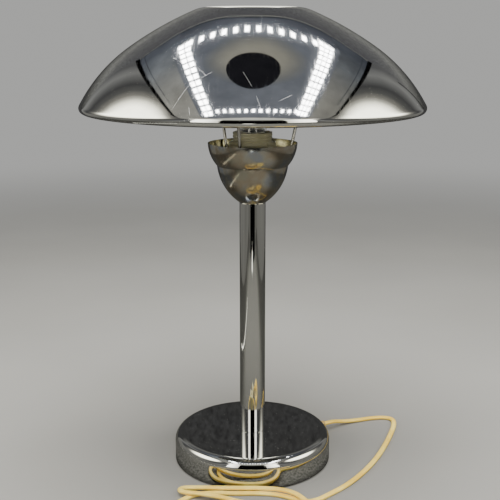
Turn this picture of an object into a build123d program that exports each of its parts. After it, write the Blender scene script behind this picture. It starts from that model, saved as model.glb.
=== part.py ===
from build123d import *
import math
import os

# Table lamp with a spun mushroom shade, in millimetres. +Z is up, and +Y points away from the viewer.
# The origin is the centre of the felt's underside, on the stem's axis.

# Base
BASE_DIAMETER = 165.0
BASE_HEIGHT = 30.8
BASE_EDGE_RADIUS = 10.0
BASE_WALL = 1.0
FELT_THICKNESS = 2.0
FELT_SHOW = 1.0
BASE_FIT = 0.3
WEIGHT_THICKNESS = 13.0
BOSS_DIAMETER = 44.0
NUT_POCKET_DIAMETER = 30.0
BOSS_ROOF = 10.0

# Stem and the hollow rod that ties the lamp together
STEM_DIAMETER = 26.5
STEM_WALL = 1.2
STEM_LENGTH = 246.5
BUSH_LENGTH = 6.0
BUSH_FIT = 0.05
ROD_DIAMETER = 10.0
ROD_BORE = 7.4
ROD_FIT = 0.05
NUT_ACROSS_FLATS = 14.0
NUT_THICKNESS = 3.5
WASHER_DIAMETER = 22.0
WASHER_THICKNESS = 1.5

# Cup, a lower bowl with a wider bowl standing in it
CUP_WALL = 0.8
CUP_FOOT_RADIUS = 13.1
CUP_STEP_RADIUS = 35.8
CUP_STEP_HEIGHT = 37.7
CUP_LOWER_CURVE = 53.0
CUP_MOUTH_RADIUS = 44.9
CUP_UPPER_HEIGHT = 22.6
CUP_UPPER_CURVE = 37.4

# Lampholder with a threaded skirt
HOLDER_LIFT = 0.4
HOLDER_LENGTH = 66.6
HOLDER_NECK_RADIUS = 8.5
HOLDER_NECK_LENGTH = 12.0
HOLDER_NECK_STRAIGHT = 4.0
HOLDER_CAP_LENGTH = 29.0
HOLDER_BODY_RADIUS = 22.2
HOLDER_WALL = 2.2
SKIRT_RADIUS = 20.0
SKIRT_LENGTH = 21.5
SKIRT_WALL = 3.5
SHADE_RING_RADIUS = 23.25
SHADE_RING_DROP = 9.3
SHADE_RING_FIT = 0.15
GRIP_COUNT = 5
GRIP_RADIUS = 0.9
GRIP_ANGLE = -51.7
INSERT_FIT = 0.1
INSERT_DROP = 3.0
CONTACT_BASE_THICKNESS = 18.0
CONTACT_DROP = 27.6
SHELL_WALL = 0.4
SHELL_DROP = 3.5
SHELL_LENGTH = 22.0
TONGUE_WIDTH = 6.0
TONGUE_THICKNESS = 0.5
TONGUE_RISE = 1.4
TERMINAL_SPACING = 18.0
TERMINAL_HEAD_RADIUS = 2.75
TERMINAL_HEAD_HEIGHT = 2.2
TERMINAL_SHANK_RADIUS = 1.5
TERMINAL_SHANK_LENGTH = 7.0

# Lamp bulb with a 27 mm screw cap
BULB_CAP_RADIUS = 13.05
BULB_CAP_WALL = 0.4
BULB_CAP_LENGTH = 23.0
BULB_THREAD_FIT = 0.1
BULB_CONTACT_RADIUS = 4.4
BULB_CONTACT_HEIGHT = 1.2
BULB_CONTACT_GAP = 0.3
BULB_INSULATOR_HEIGHT = 2.6
BULB_INSULATOR_STEP = 1.0
BULB_RADIUS = 30.0
BULB_CENTRE_RISE = 50.0
BULB_NECK_RADIUS = 13.9
BULB_NECK_RISE = 6.0
BULB_TANGENT_ANGLE = -25.0
BULB_FLARE = 12.0
BULB_GLASS_WALL = 0.7
BULB_STEM_RADIUS = 3.0
BULB_STEM_LENGTH = 24.0
FILAMENT_RISE = 45.0
FILAMENT_SPAN = 24.0
FILAMENT_RADIUS = 0.5
SUPPORT_RADIUS = 0.4
SUPPORT_FOOT = 1.0
SUPPORT_LIFT = 0.1

# Wire carrier under the shade
WIRE_DIAMETER = 3.2
WIRE_COUNT = 3
WIRE_ANGLE = 12.7
WIRE_FOOT_RADIUS = 39.3
WIRE_BEND_RADIUS = 6.0
WIRE_OVERLAP = 1.2
CARRIER_RING_RADIUS = 66.0
CARRIER_HEIGHT = 130.7
PLATE_THICKNESS = 2.0
PLATE_RADIUS = 26.0
PLATE_FIT = 0.2

# Shade: a flat crown, a soft shoulder, two long arcs and a rim rolled inwards
SHADE_DIAMETER = 340.0
SHADE_WALL = 1.0
SHADE_SEAT_GAP = 0.3
CROWN_SHOULDER_RADIUS = 35.0
UPPER_CURVE = 344.0
LOWER_CURVE = 162.1
CROWN_SLOPE = 22.8
WAIST_SLOPE = 34.8
RIM_SLOPE = 61.1
RIM_ROLL_RADIUS = 5.0
RIM_ROLL_TURN = 205.0

# Flex, its outlet and the clamp inside the base
FLEX_DIAMETER = 5.6
FLEX_FIT = 0.05
FLEX_OUTLET_ANGLE = 37.0
FLEX_OUTLET_HEIGHT = 8.0
FLEX_INNER_BEND = 9.0
FLEX_ARC_SHARE = 0.45
OUTLET_RUN = 12.0
CHANNEL_WIDTH = 9.0
CHANNEL_ROOF = 1.4
RELIEF_LENGTH = 20.0
RELIEF_ROOT_RADIUS = 5.0
RELIEF_TIP_RADIUS = 3.7
RELIEF_COLLAR_RADIUS = 5.8
RELIEF_COLLAR_THICKNESS = 1.6
RELIEF_NECK_RADIUS = 4.1
RELIEF_NECK_FIT = 0.1
RELIEF_RIBS = 3
CLAMP_DISTANCE = 52.0
CLAMP_LENGTH = 24.0
CLAMP_WIDTH = 9.0
CLAMP_FIT = 0.2
CLAMP_SCREW_SPACING = 16.0
CLAMP_SCREW_RADIUS = 1.5
CLAMP_SCREW_LENGTH = 8.0
CLAMP_HEAD_RADIUS = 2.7
CLAMP_HEAD_HEIGHT = 1.9

# In-line switch
SWITCH_CENTRE = (-18.0, -156.5)
SWITCH_LENGTH = 62.0
SWITCH_WIDTH = 23.0
SWITCH_LOWER_HEIGHT = 8.0
SWITCH_UPPER_HEIGHT = 8.5
SWITCH_WALL = 1.8
SWITCH_CORNER = 9.0
SWITCH_EDGE = 2.2
SWITCH_GRIP = 4.0
ROCKER_REACH = 10.0
ROCKER_WIDTH = 9.6
ROCKER_GAP = 0.35
ROCKER_CENTRE_HEIGHT = 4.2
ROCKER_END_HEIGHT = 5.6
ROCKER_TILT = 9.0
ROCKER_PIVOT_HEIGHT = 11.5
PIVOT_RADIUS = 1.5
PIVOT_FIT = 0.05
PIVOT_EAR = 2.0
SWITCH_SCREW_SPREAD = 22.0
SWITCH_SCREW_HEAD = 2.6
SWITCH_SCREW_SHANK = 1.3
SWITCH_SCREW_RECESS = 0.45
SWITCH_PILLAR_WALL = 0.9
BLADE_THICKNESS = 0.6
BLADE_WIDTH = 5.0

# Plug with two round pins. Shares are of the plug's own length and thickness.
PLUG_WIDTH = 35.3
PLUG_THICKNESS = 13.7
PLUG_BODY_LENGTH = 30.0
PLUG_REAR_WIDTH = 13.0
PLUG_REAR_THICKNESS = 10.0
PLUG_CORNER_SHARE = 0.35
PLUG_WAIST_SHARE = 0.55
PLUG_WAIST_SLIM = 0.95
PLUG_RELIEF_LENGTH = 20.0
PLUG_RELIEF_ROOT = 4.6
PLUG_RELIEF_TIP = 3.6
PIN_SPACING = 18.6
PIN_RADIUS = 2.0
PIN_LENGTH = 19.0
PIN_ROOT = 8.0
PIN_SLEEVE_LENGTH = 10.0
PIN_SLEEVE_INSET = 0.1
PIN_CORE_RADIUS = 1.5

# Coil of put-away flex: two layers of turns, wound in and then out again
COIL_CENTRE = (100.0, -165.0)
COIL_OUTER_RADIUS = 36.0
COIL_STEP = 3.7
COIL_HALF_TURNS = 9
COIL_LAYER_RISE = 6.2

# Free flex: from its relief round to the front, along the base and into the switch
LEAD_ROUTE = [
    (106.0, 78.3, 4.4),
    (122.5, 86.0, 2.8),
    (141.0, 92.5, 2.8),
    (156.5, 94.5, 2.8),
    (165.5, 89.0, 2.8),
    (164.5, 73.0, 2.8),
    (157.5, 50.0, 2.8),
    (147.5, 22.0, 2.8),
    (135.0, -8.5, 2.8),
    (118.0, -41.0, 2.8),
    (96.0, -72.5, 2.8),
    (78.0, -90.3, 2.8),
    (61.5, -105.8, 2.8),
    (48.3, -106.9, 2.8),
    (29.5, -94.0, 2.8),
    (8.0, -89.9, 2.8),
    (-19.0, -91.0, 2.8),
    (-42.0, -88.6, 2.8),
    (-59.0, -93.4, 2.8),
    (-72.0, -108.0, 2.8),
    (-83.0, -121.0, 2.8),
    (-84.5, -137.0, 2.8),
    (-76.0, -150.0, 4.4),
    (-61.0, -156.5, 8.0),
]

# Free flex: out of the switch, over the first pass, folded back at the left and into the coil
LOOP_ROUTE = [
    (24.0, -156.5, 8.0),
    (39.0, -150.5, 4.4),
    (47.0, -136.0, 2.8),
    (44.0, -122.0, 2.8),
    (33.0, -113.4, 2.8),
    (14.0, -112.6, 2.8),
    (-8.0, -111.0, 3.6),
    (-29.0, -103.8, 6.6),
    (-50.0, -97.8, 9.1),
    (-71.5, -94.8, 9.1),
    (-71.7, -82.4, 6.0),
    (-53.0, -79.8, 3.6),
    (-34.0, -83.2, 6.4),
    (-12.0, -86.3, 8.2),
    (10.0, -86.4, 8.4),
    (30.0, -90.0, 8.6),
    (43.0, -98.5, 9.2),
    (50.0, -111.0, 9.2),
    (61.0, -122.6, 5.6),
    (77.5, -129.0, 2.8),
]

# Free flex: from the coil to the plug
TAIL_ROUTE = [
    (79.0, -201.0, 9.0),
    (62.0, -190.0, 6.85),
]

PLUG_TIP = (46.0, -190.0)

# How many walls long a tool is that cuts through one wall
CUT_REACH = 4.0

# Levels that follow from the sizes above
base_radius = BASE_DIAMETER / 2
base_inner_radius = base_radius - BASE_WALL
weight_radius = base_inner_radius - BASE_FIT
weight_floor = FELT_THICKNESS
cover_underside = BASE_HEIGHT - BASE_WALL
rod_radius = ROD_DIAMETER / 2
rod_hole = rod_radius + ROD_FIT
nut_pocket_top = cover_underside - BOSS_ROOF
base_nut_level = nut_pocket_top - WASHER_THICKNESS - NUT_THICKNESS
flex_radius = FLEX_DIAMETER / 2
stem_radius = STEM_DIAMETER / 2
stem_bore = stem_radius - STEM_WALL
cup_level = BASE_HEIGHT + STEM_LENGTH
cup_floor = cup_level + CUP_WALL
cup_step = cup_level + CUP_STEP_HEIGHT
cup_mouth = cup_step + CUP_UPPER_HEIGHT
holder_level = cup_floor + NUT_THICKNESS + HOLDER_LIFT
holder_joint = holder_level + HOLDER_CAP_LENGTH
holder_top = holder_level + HOLDER_LENGTH
skirt_level = holder_top - SKIRT_LENGTH
skirt_bore = SKIRT_RADIUS - SKIRT_WALL
shade_ring_level = skirt_level + PLATE_THICKNESS
contact_face = holder_top - CONTACT_DROP
carrier_level = skirt_level + PLATE_THICKNESS / 2
carrier_ring_level = carrier_level + CARRIER_HEIGHT
wire_radius = WIRE_DIAMETER / 2
bulb_contact_level = contact_face + TONGUE_RISE + BULB_CONTACT_GAP
bulb_insulator_level = bulb_contact_level + BULB_CONTACT_HEIGHT
bulb_cap_level = bulb_insulator_level + BULB_INSULATOR_HEIGHT
bulb_neck_level = bulb_cap_level + BULB_CAP_LENGTH
bulb_centre = bulb_neck_level + BULB_CENTRE_RISE
relief_tip = base_radius + RELIEF_LENGTH
switch_height = SWITCH_LOWER_HEIGHT + SWITCH_UPPER_HEIGHT
plug_axis = PLUG_THICKNESS / 2


def save(name, shape):
    """Write one named piece to the parts folder."""
    shape.label = name
    export_step(shape, f"parts/{name}.step")


def turned(*edges):
    """Turn a closed outline, drawn as radius and height, about the lamp's axis."""
    return revolve(Plane.XZ * make_face(edges), Axis.Z)


def turned_points(*points):
    """Turn a closed outline of straight sides about the lamp's axis."""
    return turned(Polyline(*points, close=True))


def ring(inner, outer, low, high):
    """A plain ring or, with no inner radius, a disc."""
    return turned_points((inner, low), (outer, low), (outer, high), (inner, high))


def rod(radius, low, high, x=0.0, y=0.0):
    """A round bar along Z."""
    return Pos(x, y, (low + high) / 2) * Cylinder(radius, high - low)


def bowed(start, end, radius):
    """An arc from start to end that bows out to the right of the way it goes."""
    chord = math.dist(start, end)
    rise = radius - math.sqrt(radius**2 - (chord / 2) ** 2)
    across = ((end[1] - start[1]) / chord, (start[0] - end[0]) / chord)
    middle = [(start[i] + end[i]) / 2 + rise * across[i] for i in range(2)]
    return ThreePointArc(start, tuple(middle), end)


def hex_nut(low):
    """A hexagon nut on the hollow rod."""
    corner = NUT_ACROSS_FLATS / math.sqrt(3)
    blank = Pos(0, 0, low) * extrude(RegularPolygon(corner, 6), NUT_THICKNESS)
    return blank - rod(rod_hole, low, low + NUT_THICKNESS)


def corner_radii(points):
    """Radius at each inner point: a share of the shorter run over the tangent of half the turn."""
    radii = []
    for before, here, after in zip(points, points[1:], points[2:]):
        arriving = Vector(here) - Vector(before)
        leaving = Vector(after) - Vector(here)
        half_turn = math.radians(arriving.get_angle(leaving)) / 2
        run = min(arriving.length, leaving.length)
        radii.append(FLEX_ARC_SHARE * run / math.tan(half_turn))
    return radii


def swept(path, radius):
    """A round tube along a path."""
    return sweep(Plane(origin=path @ 0, z_dir=path % 0) * Circle(radius), path=path)


def flex(name, points):
    """Free flex of straight runs and tangent arcs. Prints its arcs, length and volume."""
    radii = corner_radii(points)
    path = FilletPolyline(*points, radius=radii)
    tube = swept(path, flex_radius)
    expected = math.pi * flex_radius**2 * path.length
    print(f"{name} arcs {[round(r) for r in radii]}")
    print(f"{name} length {path.length:.0f} volume over section times length {tube.volume / expected:.4f}")
    save(name, tube)
    return path.length


def at_outlet(shape):
    """Place a shape made about +X at the flex outlet's height and direction."""
    return Rot(0, 0, FLEX_OUTLET_ANGLE) * Pos(0, 0, FLEX_OUTLET_HEIGHT) * shape


def outlet_point(distance):
    """A point on the flex's way out, at a distance from the lamp's axis."""
    angle = math.radians(FLEX_OUTLET_ANGLE)
    return (distance * math.cos(angle), distance * math.sin(angle), FLEX_OUTLET_HEIGHT)


def along_x(*points):
    """Turn a closed outline, drawn as distance along X and radius, about the X axis."""
    return revolve(make_face(Polyline(*points, close=True)), Axis.X)


def base_cover():
    """Drawn cover with a rounded top edge, a rod hole and a flex hole."""
    level = FELT_SHOW
    flat = base_radius - BASE_EDGE_RADIUS
    shoulder = BASE_HEIGHT - BASE_EDGE_RADIUS
    inner_edge = BASE_EDGE_RADIUS - BASE_WALL
    cover = turned(
        Line((base_inner_radius, level), (base_radius, level)),
        Line((base_radius, level), (base_radius, shoulder)),
        CenterArc((flat, shoulder), BASE_EDGE_RADIUS, 0, 90),
        Line((flat, BASE_HEIGHT), (rod_hole, BASE_HEIGHT)),
        Line((rod_hole, BASE_HEIGHT), (rod_hole, cover_underside)),
        Line((rod_hole, cover_underside), (flat, cover_underside)),
        CenterArc((flat, shoulder), inner_edge, 0, 90),
        Line((base_inner_radius, shoulder), (base_inner_radius, level)),
    )
    hole = Pos(base_radius, 0, 0) * Rot(0, 90, 0)
    hole = hole * Cylinder(RELIEF_NECK_RADIUS + RELIEF_NECK_FIT, CUT_REACH * BASE_WALL)
    save("base_cover", cover - at_outlet(hole))


def clamp_bar():
    """Size and place of the clamp bar across the flex channel, as a box about the outlet's X axis."""
    top = FLEX_OUTLET_HEIGHT - flex_radius - FLEX_FIT
    return top - weight_floor, Pos(CLAMP_DISTANCE, 0, (top + weight_floor) / 2 - FLEX_OUTLET_HEIGHT)


def clamp_screw(head_radius, fit):
    """The pair of clamp screws, or with a fit the holes for them."""
    screws = []
    for side in (-1, 1):
        y = side * CLAMP_SCREW_SPACING / 2
        bottom = weight_floor - FLEX_OUTLET_HEIGHT
        shank = rod(CLAMP_SCREW_RADIUS + fit, bottom, bottom + CLAMP_SCREW_LENGTH, CLAMP_DISTANCE, y)
        head = rod(head_radius + fit, bottom, bottom + CLAMP_HEAD_HEIGHT, CLAMP_DISTANCE, y)
        screws.append(shank + head)
    return at_outlet(Compound(screws))


def base_inside():
    """Cast weight with its boss, nut pocket and flex channel, and the felt, clamp and nut under it."""
    weight_top = weight_floor + WEIGHT_THICKNESS
    weight = turned_points(
        (rod_hole, nut_pocket_top),
        (NUT_POCKET_DIAMETER / 2, nut_pocket_top),
        (NUT_POCKET_DIAMETER / 2, weight_floor),
        (weight_radius, weight_floor),
        (weight_radius, weight_top),
        (BOSS_DIAMETER / 2, weight_top),
        (BOSS_DIAMETER / 2, cover_underside),
        (rod_hole, cover_underside),
    )
    roof = FLEX_OUTLET_HEIGHT + flex_radius + CHANNEL_ROOF
    channel = Pos(weight_radius / 2, 0, (roof + weight_floor) / 2 - FLEX_OUTLET_HEIGHT)
    channel = channel * Box(weight_radius + BASE_FIT, CHANNEL_WIDTH, roof - weight_floor)
    thickness, place = clamp_bar()
    recess = place * Box(CLAMP_WIDTH + 2 * CLAMP_FIT, CLAMP_LENGTH + 2 * CLAMP_FIT, thickness)
    room_length = CUT_REACH * RELIEF_COLLAR_THICKNESS
    collar_room = Pos(base_inner_radius, 0, 0) * Rot(0, 90, 0)
    collar_room = collar_room * Cylinder(RELIEF_COLLAR_RADIUS + CLAMP_FIT, room_length)
    weight = weight - at_outlet(channel) - at_outlet(recess) - at_outlet(collar_room)
    weight = weight - clamp_screw(CLAMP_SCREW_RADIUS, FLEX_FIT)
    save("base_weight", weight)
    bar = at_outlet(place * Box(CLAMP_WIDTH, CLAMP_LENGTH, thickness))
    save("cord_clamp", bar - clamp_screw(CLAMP_HEAD_RADIUS, FLEX_FIT))
    save("clamp_screws", clamp_screw(CLAMP_HEAD_RADIUS, 0))
    save("felt_pad", ring(0, weight_radius, 0, FELT_THICKNESS))
    washer_level = nut_pocket_top - WASHER_THICKNESS
    save("base_washer", ring(rod_hole, WASHER_DIAMETER / 2, washer_level, nut_pocket_top))
    save("base_nut", hex_nut(base_nut_level))


def stem():
    """Polished tube, the bushes that centre it and the hollow rod through it."""
    save("stem_tube", ring(stem_bore, stem_radius, BASE_HEIGHT, cup_level))
    bush = stem_bore - BUSH_FIT
    save("stem_bush_bottom", ring(rod_hole, bush, BASE_HEIGHT, BASE_HEIGHT + BUSH_LENGTH))
    save("stem_bush_top", ring(rod_hole, bush, cup_level - BUSH_LENGTH, cup_level))
    rod_top = holder_level + HOLDER_NECK_LENGTH
    save("threaded_rod", ring(ROD_BORE / 2, rod_radius, base_nut_level, rod_top))
    save("cup_nut", hex_nut(cup_floor))


def cup():
    """Spun cup of two bowls that meet in a crease."""
    inner_step = (CUP_STEP_RADIUS - CUP_WALL, cup_step)
    inner_foot = (CUP_FOOT_RADIUS - CUP_WALL / 2, cup_floor)
    inner_mouth = (CUP_MOUTH_RADIUS - CUP_WALL, cup_mouth)
    foot = (CUP_FOOT_RADIUS, cup_level)
    step = (CUP_STEP_RADIUS, cup_step)
    mouth = (CUP_MOUTH_RADIUS, cup_mouth)
    save(
        "cup",
        turned(
            Line((rod_hole, cup_level), foot),
            bowed(foot, step, CUP_LOWER_CURVE),
            bowed(step, mouth, CUP_UPPER_CURVE),
            Line(mouth, inner_mouth),
            bowed(inner_step, inner_mouth, CUP_UPPER_CURVE - CUP_WALL),
            bowed(inner_foot, inner_step, CUP_LOWER_CURVE - CUP_WALL),
            Line(inner_foot, (rod_hole, cup_floor)),
            Line((rod_hole, cup_floor), (rod_hole, cup_level)),
        ),
    )


def holder_shells():
    """Moulded cap and mantle of the lampholder, and the grooved ring on its thread."""
    neck_bore = rod_hole
    shoulder = holder_level + HOLDER_NECK_LENGTH
    cap_bore = HOLDER_BODY_RADIUS - HOLDER_WALL
    flare = (HOLDER_BODY_RADIUS, (shoulder + holder_joint) / 2)
    inner_flare = (cap_bore, flare[1])
    neck_top = (HOLDER_NECK_RADIUS, holder_level + HOLDER_NECK_STRAIGHT)
    curve = HOLDER_BODY_RADIUS
    save(
        "holder_cap",
        turned(
            Line((neck_bore, holder_level), (HOLDER_NECK_RADIUS, holder_level)),
            Line((HOLDER_NECK_RADIUS, holder_level), neck_top),
            bowed(neck_top, flare, curve),
            Line(flare, (HOLDER_BODY_RADIUS, holder_joint)),
            Line((HOLDER_BODY_RADIUS, holder_joint), (cap_bore, holder_joint)),
            Line((cap_bore, holder_joint), inner_flare),
            bowed((neck_bore, shoulder), inner_flare, curve),
            Line((neck_bore, shoulder), (neck_bore, holder_level)),
        ),
    )
    save(
        "holder_mantle",
        turned_points(
            (skirt_bore, holder_joint),
            (HOLDER_BODY_RADIUS, holder_joint),
            (HOLDER_BODY_RADIUS, skirt_level),
            (SKIRT_RADIUS, skirt_level),
            (SKIRT_RADIUS, holder_top),
            (skirt_bore, holder_top),
        ),
    )
    top = holder_top - SHADE_RING_DROP
    bore = SKIRT_RADIUS + SHADE_RING_FIT
    clamp_ring = ring(bore, SHADE_RING_RADIUS, shade_ring_level, top)
    for grip in range(GRIP_COUNT):
        turn = Rot(0, 0, GRIP_ANGLE + grip * 360 / GRIP_COUNT)
        clamp_ring = clamp_ring - turn * rod(GRIP_RADIUS, shade_ring_level, top, SHADE_RING_RADIUS)
    save("shade_ring", clamp_ring)


def holder_inside():
    """Contact block, ceramic collar, screw shell, spring tongue and terminal screws."""
    block_radius = skirt_bore - INSERT_FIT
    block_level = contact_face - CONTACT_BASE_THICKNESS
    block = ring(0, block_radius, block_level, contact_face)
    shell_bore = BULB_CAP_RADIUS + BULB_THREAD_FIT
    shell_radius = shell_bore + SHELL_WALL
    collar_bore = shell_radius + INSERT_FIT / 2
    save("holder_insert", ring(collar_bore, block_radius, contact_face, holder_top - INSERT_DROP))
    shell_top = holder_top - SHELL_DROP
    save("screw_shell", ring(shell_bore, shell_radius, shell_top - SHELL_LENGTH, shell_top))
    screws = []
    for side in (-1, 1):
        x = side * TERMINAL_SPACING / 2
        head = rod(TERMINAL_HEAD_RADIUS, block_level - TERMINAL_HEAD_HEIGHT, block_level, x)
        shank = rod(TERMINAL_SHANK_RADIUS, block_level, block_level + TERMINAL_SHANK_LENGTH, x)
        screws.append(head + shank)
        hole = rod(TERMINAL_SHANK_RADIUS + INSERT_FIT, block_level, block_level + TERMINAL_SHANK_LENGTH, x)
        block = block - hole
    save("contact_block", block)
    save("terminal_screws", Compound(screws))
    reach = BULB_CONTACT_RADIUS
    tongue = Polyline(
        (-2 * reach, contact_face),
        (-reach, contact_face),
        (0, contact_face + TONGUE_RISE - TONGUE_THICKNESS),
        (reach, contact_face + TONGUE_RISE - TONGUE_THICKNESS),
        (reach, contact_face + TONGUE_RISE),
        (-TONGUE_THICKNESS, contact_face + TONGUE_RISE),
        (-reach - TONGUE_THICKNESS, contact_face + TONGUE_THICKNESS),
        (-2 * reach, contact_face + TONGUE_THICKNESS),
        close=True,
    )
    strip = extrude(Plane.XZ * make_face(tongue), TONGUE_WIDTH / 2, both=True)
    save("centre_contact", strip)


def bulb_outline(inset):
    """Outline of the glass from its neck to its crown, drawn inwards by inset."""
    angle = math.radians(BULB_TANGENT_ANGLE)
    radius = BULB_RADIUS - inset
    foot = (BULB_NECK_RADIUS - inset, bulb_neck_level)
    neck = (BULB_NECK_RADIUS - inset, bulb_neck_level + BULB_NECK_RISE)
    tangent = (radius * math.cos(angle), bulb_centre + radius * math.sin(angle))
    lower = (neck[0], neck[1] + BULB_FLARE)
    upper = (tangent[0] + BULB_FLARE * math.sin(angle), tangent[1] - BULB_FLARE * math.cos(angle))
    return [
        Line(foot, neck),
        Bezier(neck, lower, upper, tangent),
        CenterArc((0, bulb_centre), radius, BULB_TANGENT_ANGLE, 90 - BULB_TANGENT_ANGLE),
    ]


def bulb():
    """Screw cap, insulator and solder contact, and the clear glass with its filament."""
    save("bulb_contact", ring(0, BULB_CONTACT_RADIUS, bulb_contact_level, bulb_insulator_level))
    save(
        "bulb_insulator",
        turned_points(
            (0, bulb_insulator_level),
            (BULB_CONTACT_RADIUS + BULB_INSULATOR_STEP, bulb_insulator_level),
            (BULB_CAP_RADIUS - BULB_INSULATOR_STEP, bulb_cap_level),
            (0, bulb_cap_level),
        ),
    )
    cap_bore = BULB_CAP_RADIUS - BULB_CAP_WALL
    floor = bulb_cap_level + BULB_CAP_WALL
    save(
        "bulb_cap",
        turned_points(
            (0, bulb_cap_level),
            (BULB_CAP_RADIUS, bulb_cap_level),
            (BULB_CAP_RADIUS, bulb_neck_level),
            (cap_bore, bulb_neck_level),
            (cap_bore, floor),
            (0, floor),
        ),
    )
    outer = bulb_outline(0)
    inner = bulb_outline(BULB_GLASS_WALL)
    glass = turned(
        *outer,
        *inner,
        Line(outer[0] @ 0, inner[0] @ 0),
        Line((0, bulb_centre + BULB_RADIUS), (0, bulb_centre + BULB_RADIUS - BULB_GLASS_WALL)),
    )
    save("bulb_glass", glass)
    stem_top = floor + BULB_STEM_LENGTH
    save("bulb_stem", rod(BULB_STEM_RADIUS, floor, stem_top))
    filament_level = bulb_neck_level + FILAMENT_RISE
    ends = [(side * FILAMENT_SPAN / 2, 0, filament_level) for side in (-1, 1)]
    filament = swept(Line(*ends), FILAMENT_RADIUS)
    for side, end in zip((-1, 1), ends):
        foot = (side * SUPPORT_FOOT, 0, stem_top + SUPPORT_LIFT)
        filament = filament + swept(Line(foot, end), SUPPORT_RADIUS)
    save("bulb_filament", filament)


def carrier():
    """Flat collar, three splayed wires and the ring that the shade rests on."""
    plate = ring(SKIRT_RADIUS + PLATE_FIT, PLATE_RADIUS, skirt_level, shade_ring_level)
    top_ring = swept(CenterArc((0, 0, carrier_ring_level), CARRIER_RING_RADIUS, 0, 360), wire_radius)
    bend = (WIRE_FOOT_RADIUS, 0, carrier_level)
    lean = math.atan2(CARRIER_RING_RADIUS - WIRE_FOOT_RADIUS, CARRIER_HEIGHT)
    short = wire_radius / 2
    top = (CARRIER_RING_RADIUS - short * math.sin(lean), 0, carrier_ring_level - short * math.cos(lean))
    start = (PLATE_RADIUS - WIRE_OVERLAP, 0, carrier_level)
    wire = swept(FilletPolyline(start, bend, top, radius=WIRE_BEND_RADIUS), wire_radius)
    wire = wire - plate - top_ring
    save("carrier_plate", plate)
    save("carrier_ring", top_ring)
    for index in range(WIRE_COUNT):
        save(f"carrier_wire_{index + 1}", Rot(0, 0, WIRE_ANGLE + index * 360 / WIRE_COUNT) * wire)


def shade_arcs():
    """Centre, radius, start angle and end angle of each arc, from the rim up, above the rim's foot."""
    roll_centre = (SHADE_DIAMETER / 2 - RIM_ROLL_RADIUS, RIM_ROLL_RADIUS)
    arcs = [(roll_centre, RIM_ROLL_RADIUS, 90 - RIM_SLOPE - RIM_ROLL_TURN, 90 - RIM_SLOPE)]
    stages = [
        (LOWER_CURVE, RIM_SLOPE, WAIST_SLOPE),
        (UPPER_CURVE, WAIST_SLOPE, CROWN_SLOPE),
        (CROWN_SHOULDER_RADIUS, CROWN_SLOPE, 0),
    ]
    centre, radius = roll_centre, RIM_ROLL_RADIUS
    for curve, low_slope, high_slope in stages:
        away = math.radians(90 - low_slope)
        centre = (
            centre[0] + (radius - curve) * math.cos(away),
            centre[1] + (radius - curve) * math.sin(away),
        )
        radius = curve
        arcs.append((centre, curve, 90 - low_slope, 90 - high_slope))
    return arcs


def shade_rise():
    """Height of the rim's foot that seats the arc over the carrier ring, or else the flat crown, on it."""
    for centre, radius, low, high in shade_arcs()[1:]:
        reach = radius - SHADE_WALL - SHADE_SEAT_GAP - wire_radius
        across = CARRIER_RING_RADIUS - centre[0]
        if reach * math.cos(math.radians(high)) <= across <= reach * math.cos(math.radians(low)):
            return carrier_ring_level - centre[1] - math.sqrt(reach**2 - across**2)
    return carrier_ring_level - centre[1] - reach


def shade():
    """Spun shade, one wall thick from its rolled rim to its flat crown."""
    edges = []
    arcs = shade_arcs()
    rise = shade_rise()
    ends = []
    for inset in (0, SHADE_WALL):
        for (x, z), radius, low, high in arcs:
            edges.append(CenterArc((x, z + rise), radius - inset, low, high - low))
        (x, z), radius, _, _ = arcs[-1]
        top = z + rise + radius - inset
        edges.append(Line((x, top), (0, top)))
        ends.append(((0, top), edges[-len(arcs) - 1] @ 0))
    edges.append(Line(ends[0][0], ends[1][0]))
    edges.append(Line(ends[0][1], ends[1][1]))
    save("shade", turned(*edges))
    print(f"shade from {rise:.1f} to {ends[0][0][1]:.1f}, crown flat to radius {arcs[-1][0][0]:.1f}")


def cord_relief():
    """Tapered relief with a collar inside and outside the cover, ribbed along its length."""
    bore = flex_radius + FLEX_FIT
    outside = base_radius + RELIEF_COLLAR_THICKNESS
    inside = math.sqrt(base_inner_radius**2 - RELIEF_COLLAR_RADIUS**2) - RELIEF_NECK_FIT
    sleeve = along_x(
        (inside - RELIEF_COLLAR_THICKNESS, bore),
        (inside - RELIEF_COLLAR_THICKNESS, RELIEF_COLLAR_RADIUS),
        (inside, RELIEF_COLLAR_RADIUS),
        (inside, RELIEF_NECK_RADIUS),
        (base_radius + RELIEF_NECK_FIT, RELIEF_NECK_RADIUS),
        (base_radius + RELIEF_NECK_FIT, RELIEF_COLLAR_RADIUS),
        (outside, RELIEF_COLLAR_RADIUS),
        (outside, RELIEF_ROOT_RADIUS),
        (relief_tip, RELIEF_TIP_RADIUS),
        (relief_tip, bore),
    )
    spacing = (relief_tip - outside) / (RELIEF_RIBS + 1)
    groove = (RELIEF_ROOT_RADIUS - RELIEF_TIP_RADIUS) / 2
    for rib in range(RELIEF_RIBS):
        middle = outside + (rib + 1) * spacing
        depth = RELIEF_TIP_RADIUS + (relief_tip - middle) / (relief_tip - outside) * groove
        sleeve = sleeve - along_x(
            (middle - groove, depth),
            (middle + groove, depth),
            (middle + groove, RELIEF_COLLAR_RADIUS),
            (middle - groove, RELIEF_COLLAR_RADIUS),
        )
    save("cord_relief", at_outlet(sleeve))


def inner_flex():
    """Flex from the relief's tip, through the base and up the hollow rod to the contact block."""
    top = contact_face - CONTACT_BASE_THICKNESS
    corner = (0, 0, FLEX_OUTLET_HEIGHT)
    end = (0, 0, top)
    path = FilletPolyline(outlet_point(relief_tip), corner, end, radius=FLEX_INNER_BEND)
    save("flex_inner", swept(path, flex_radius))


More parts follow.
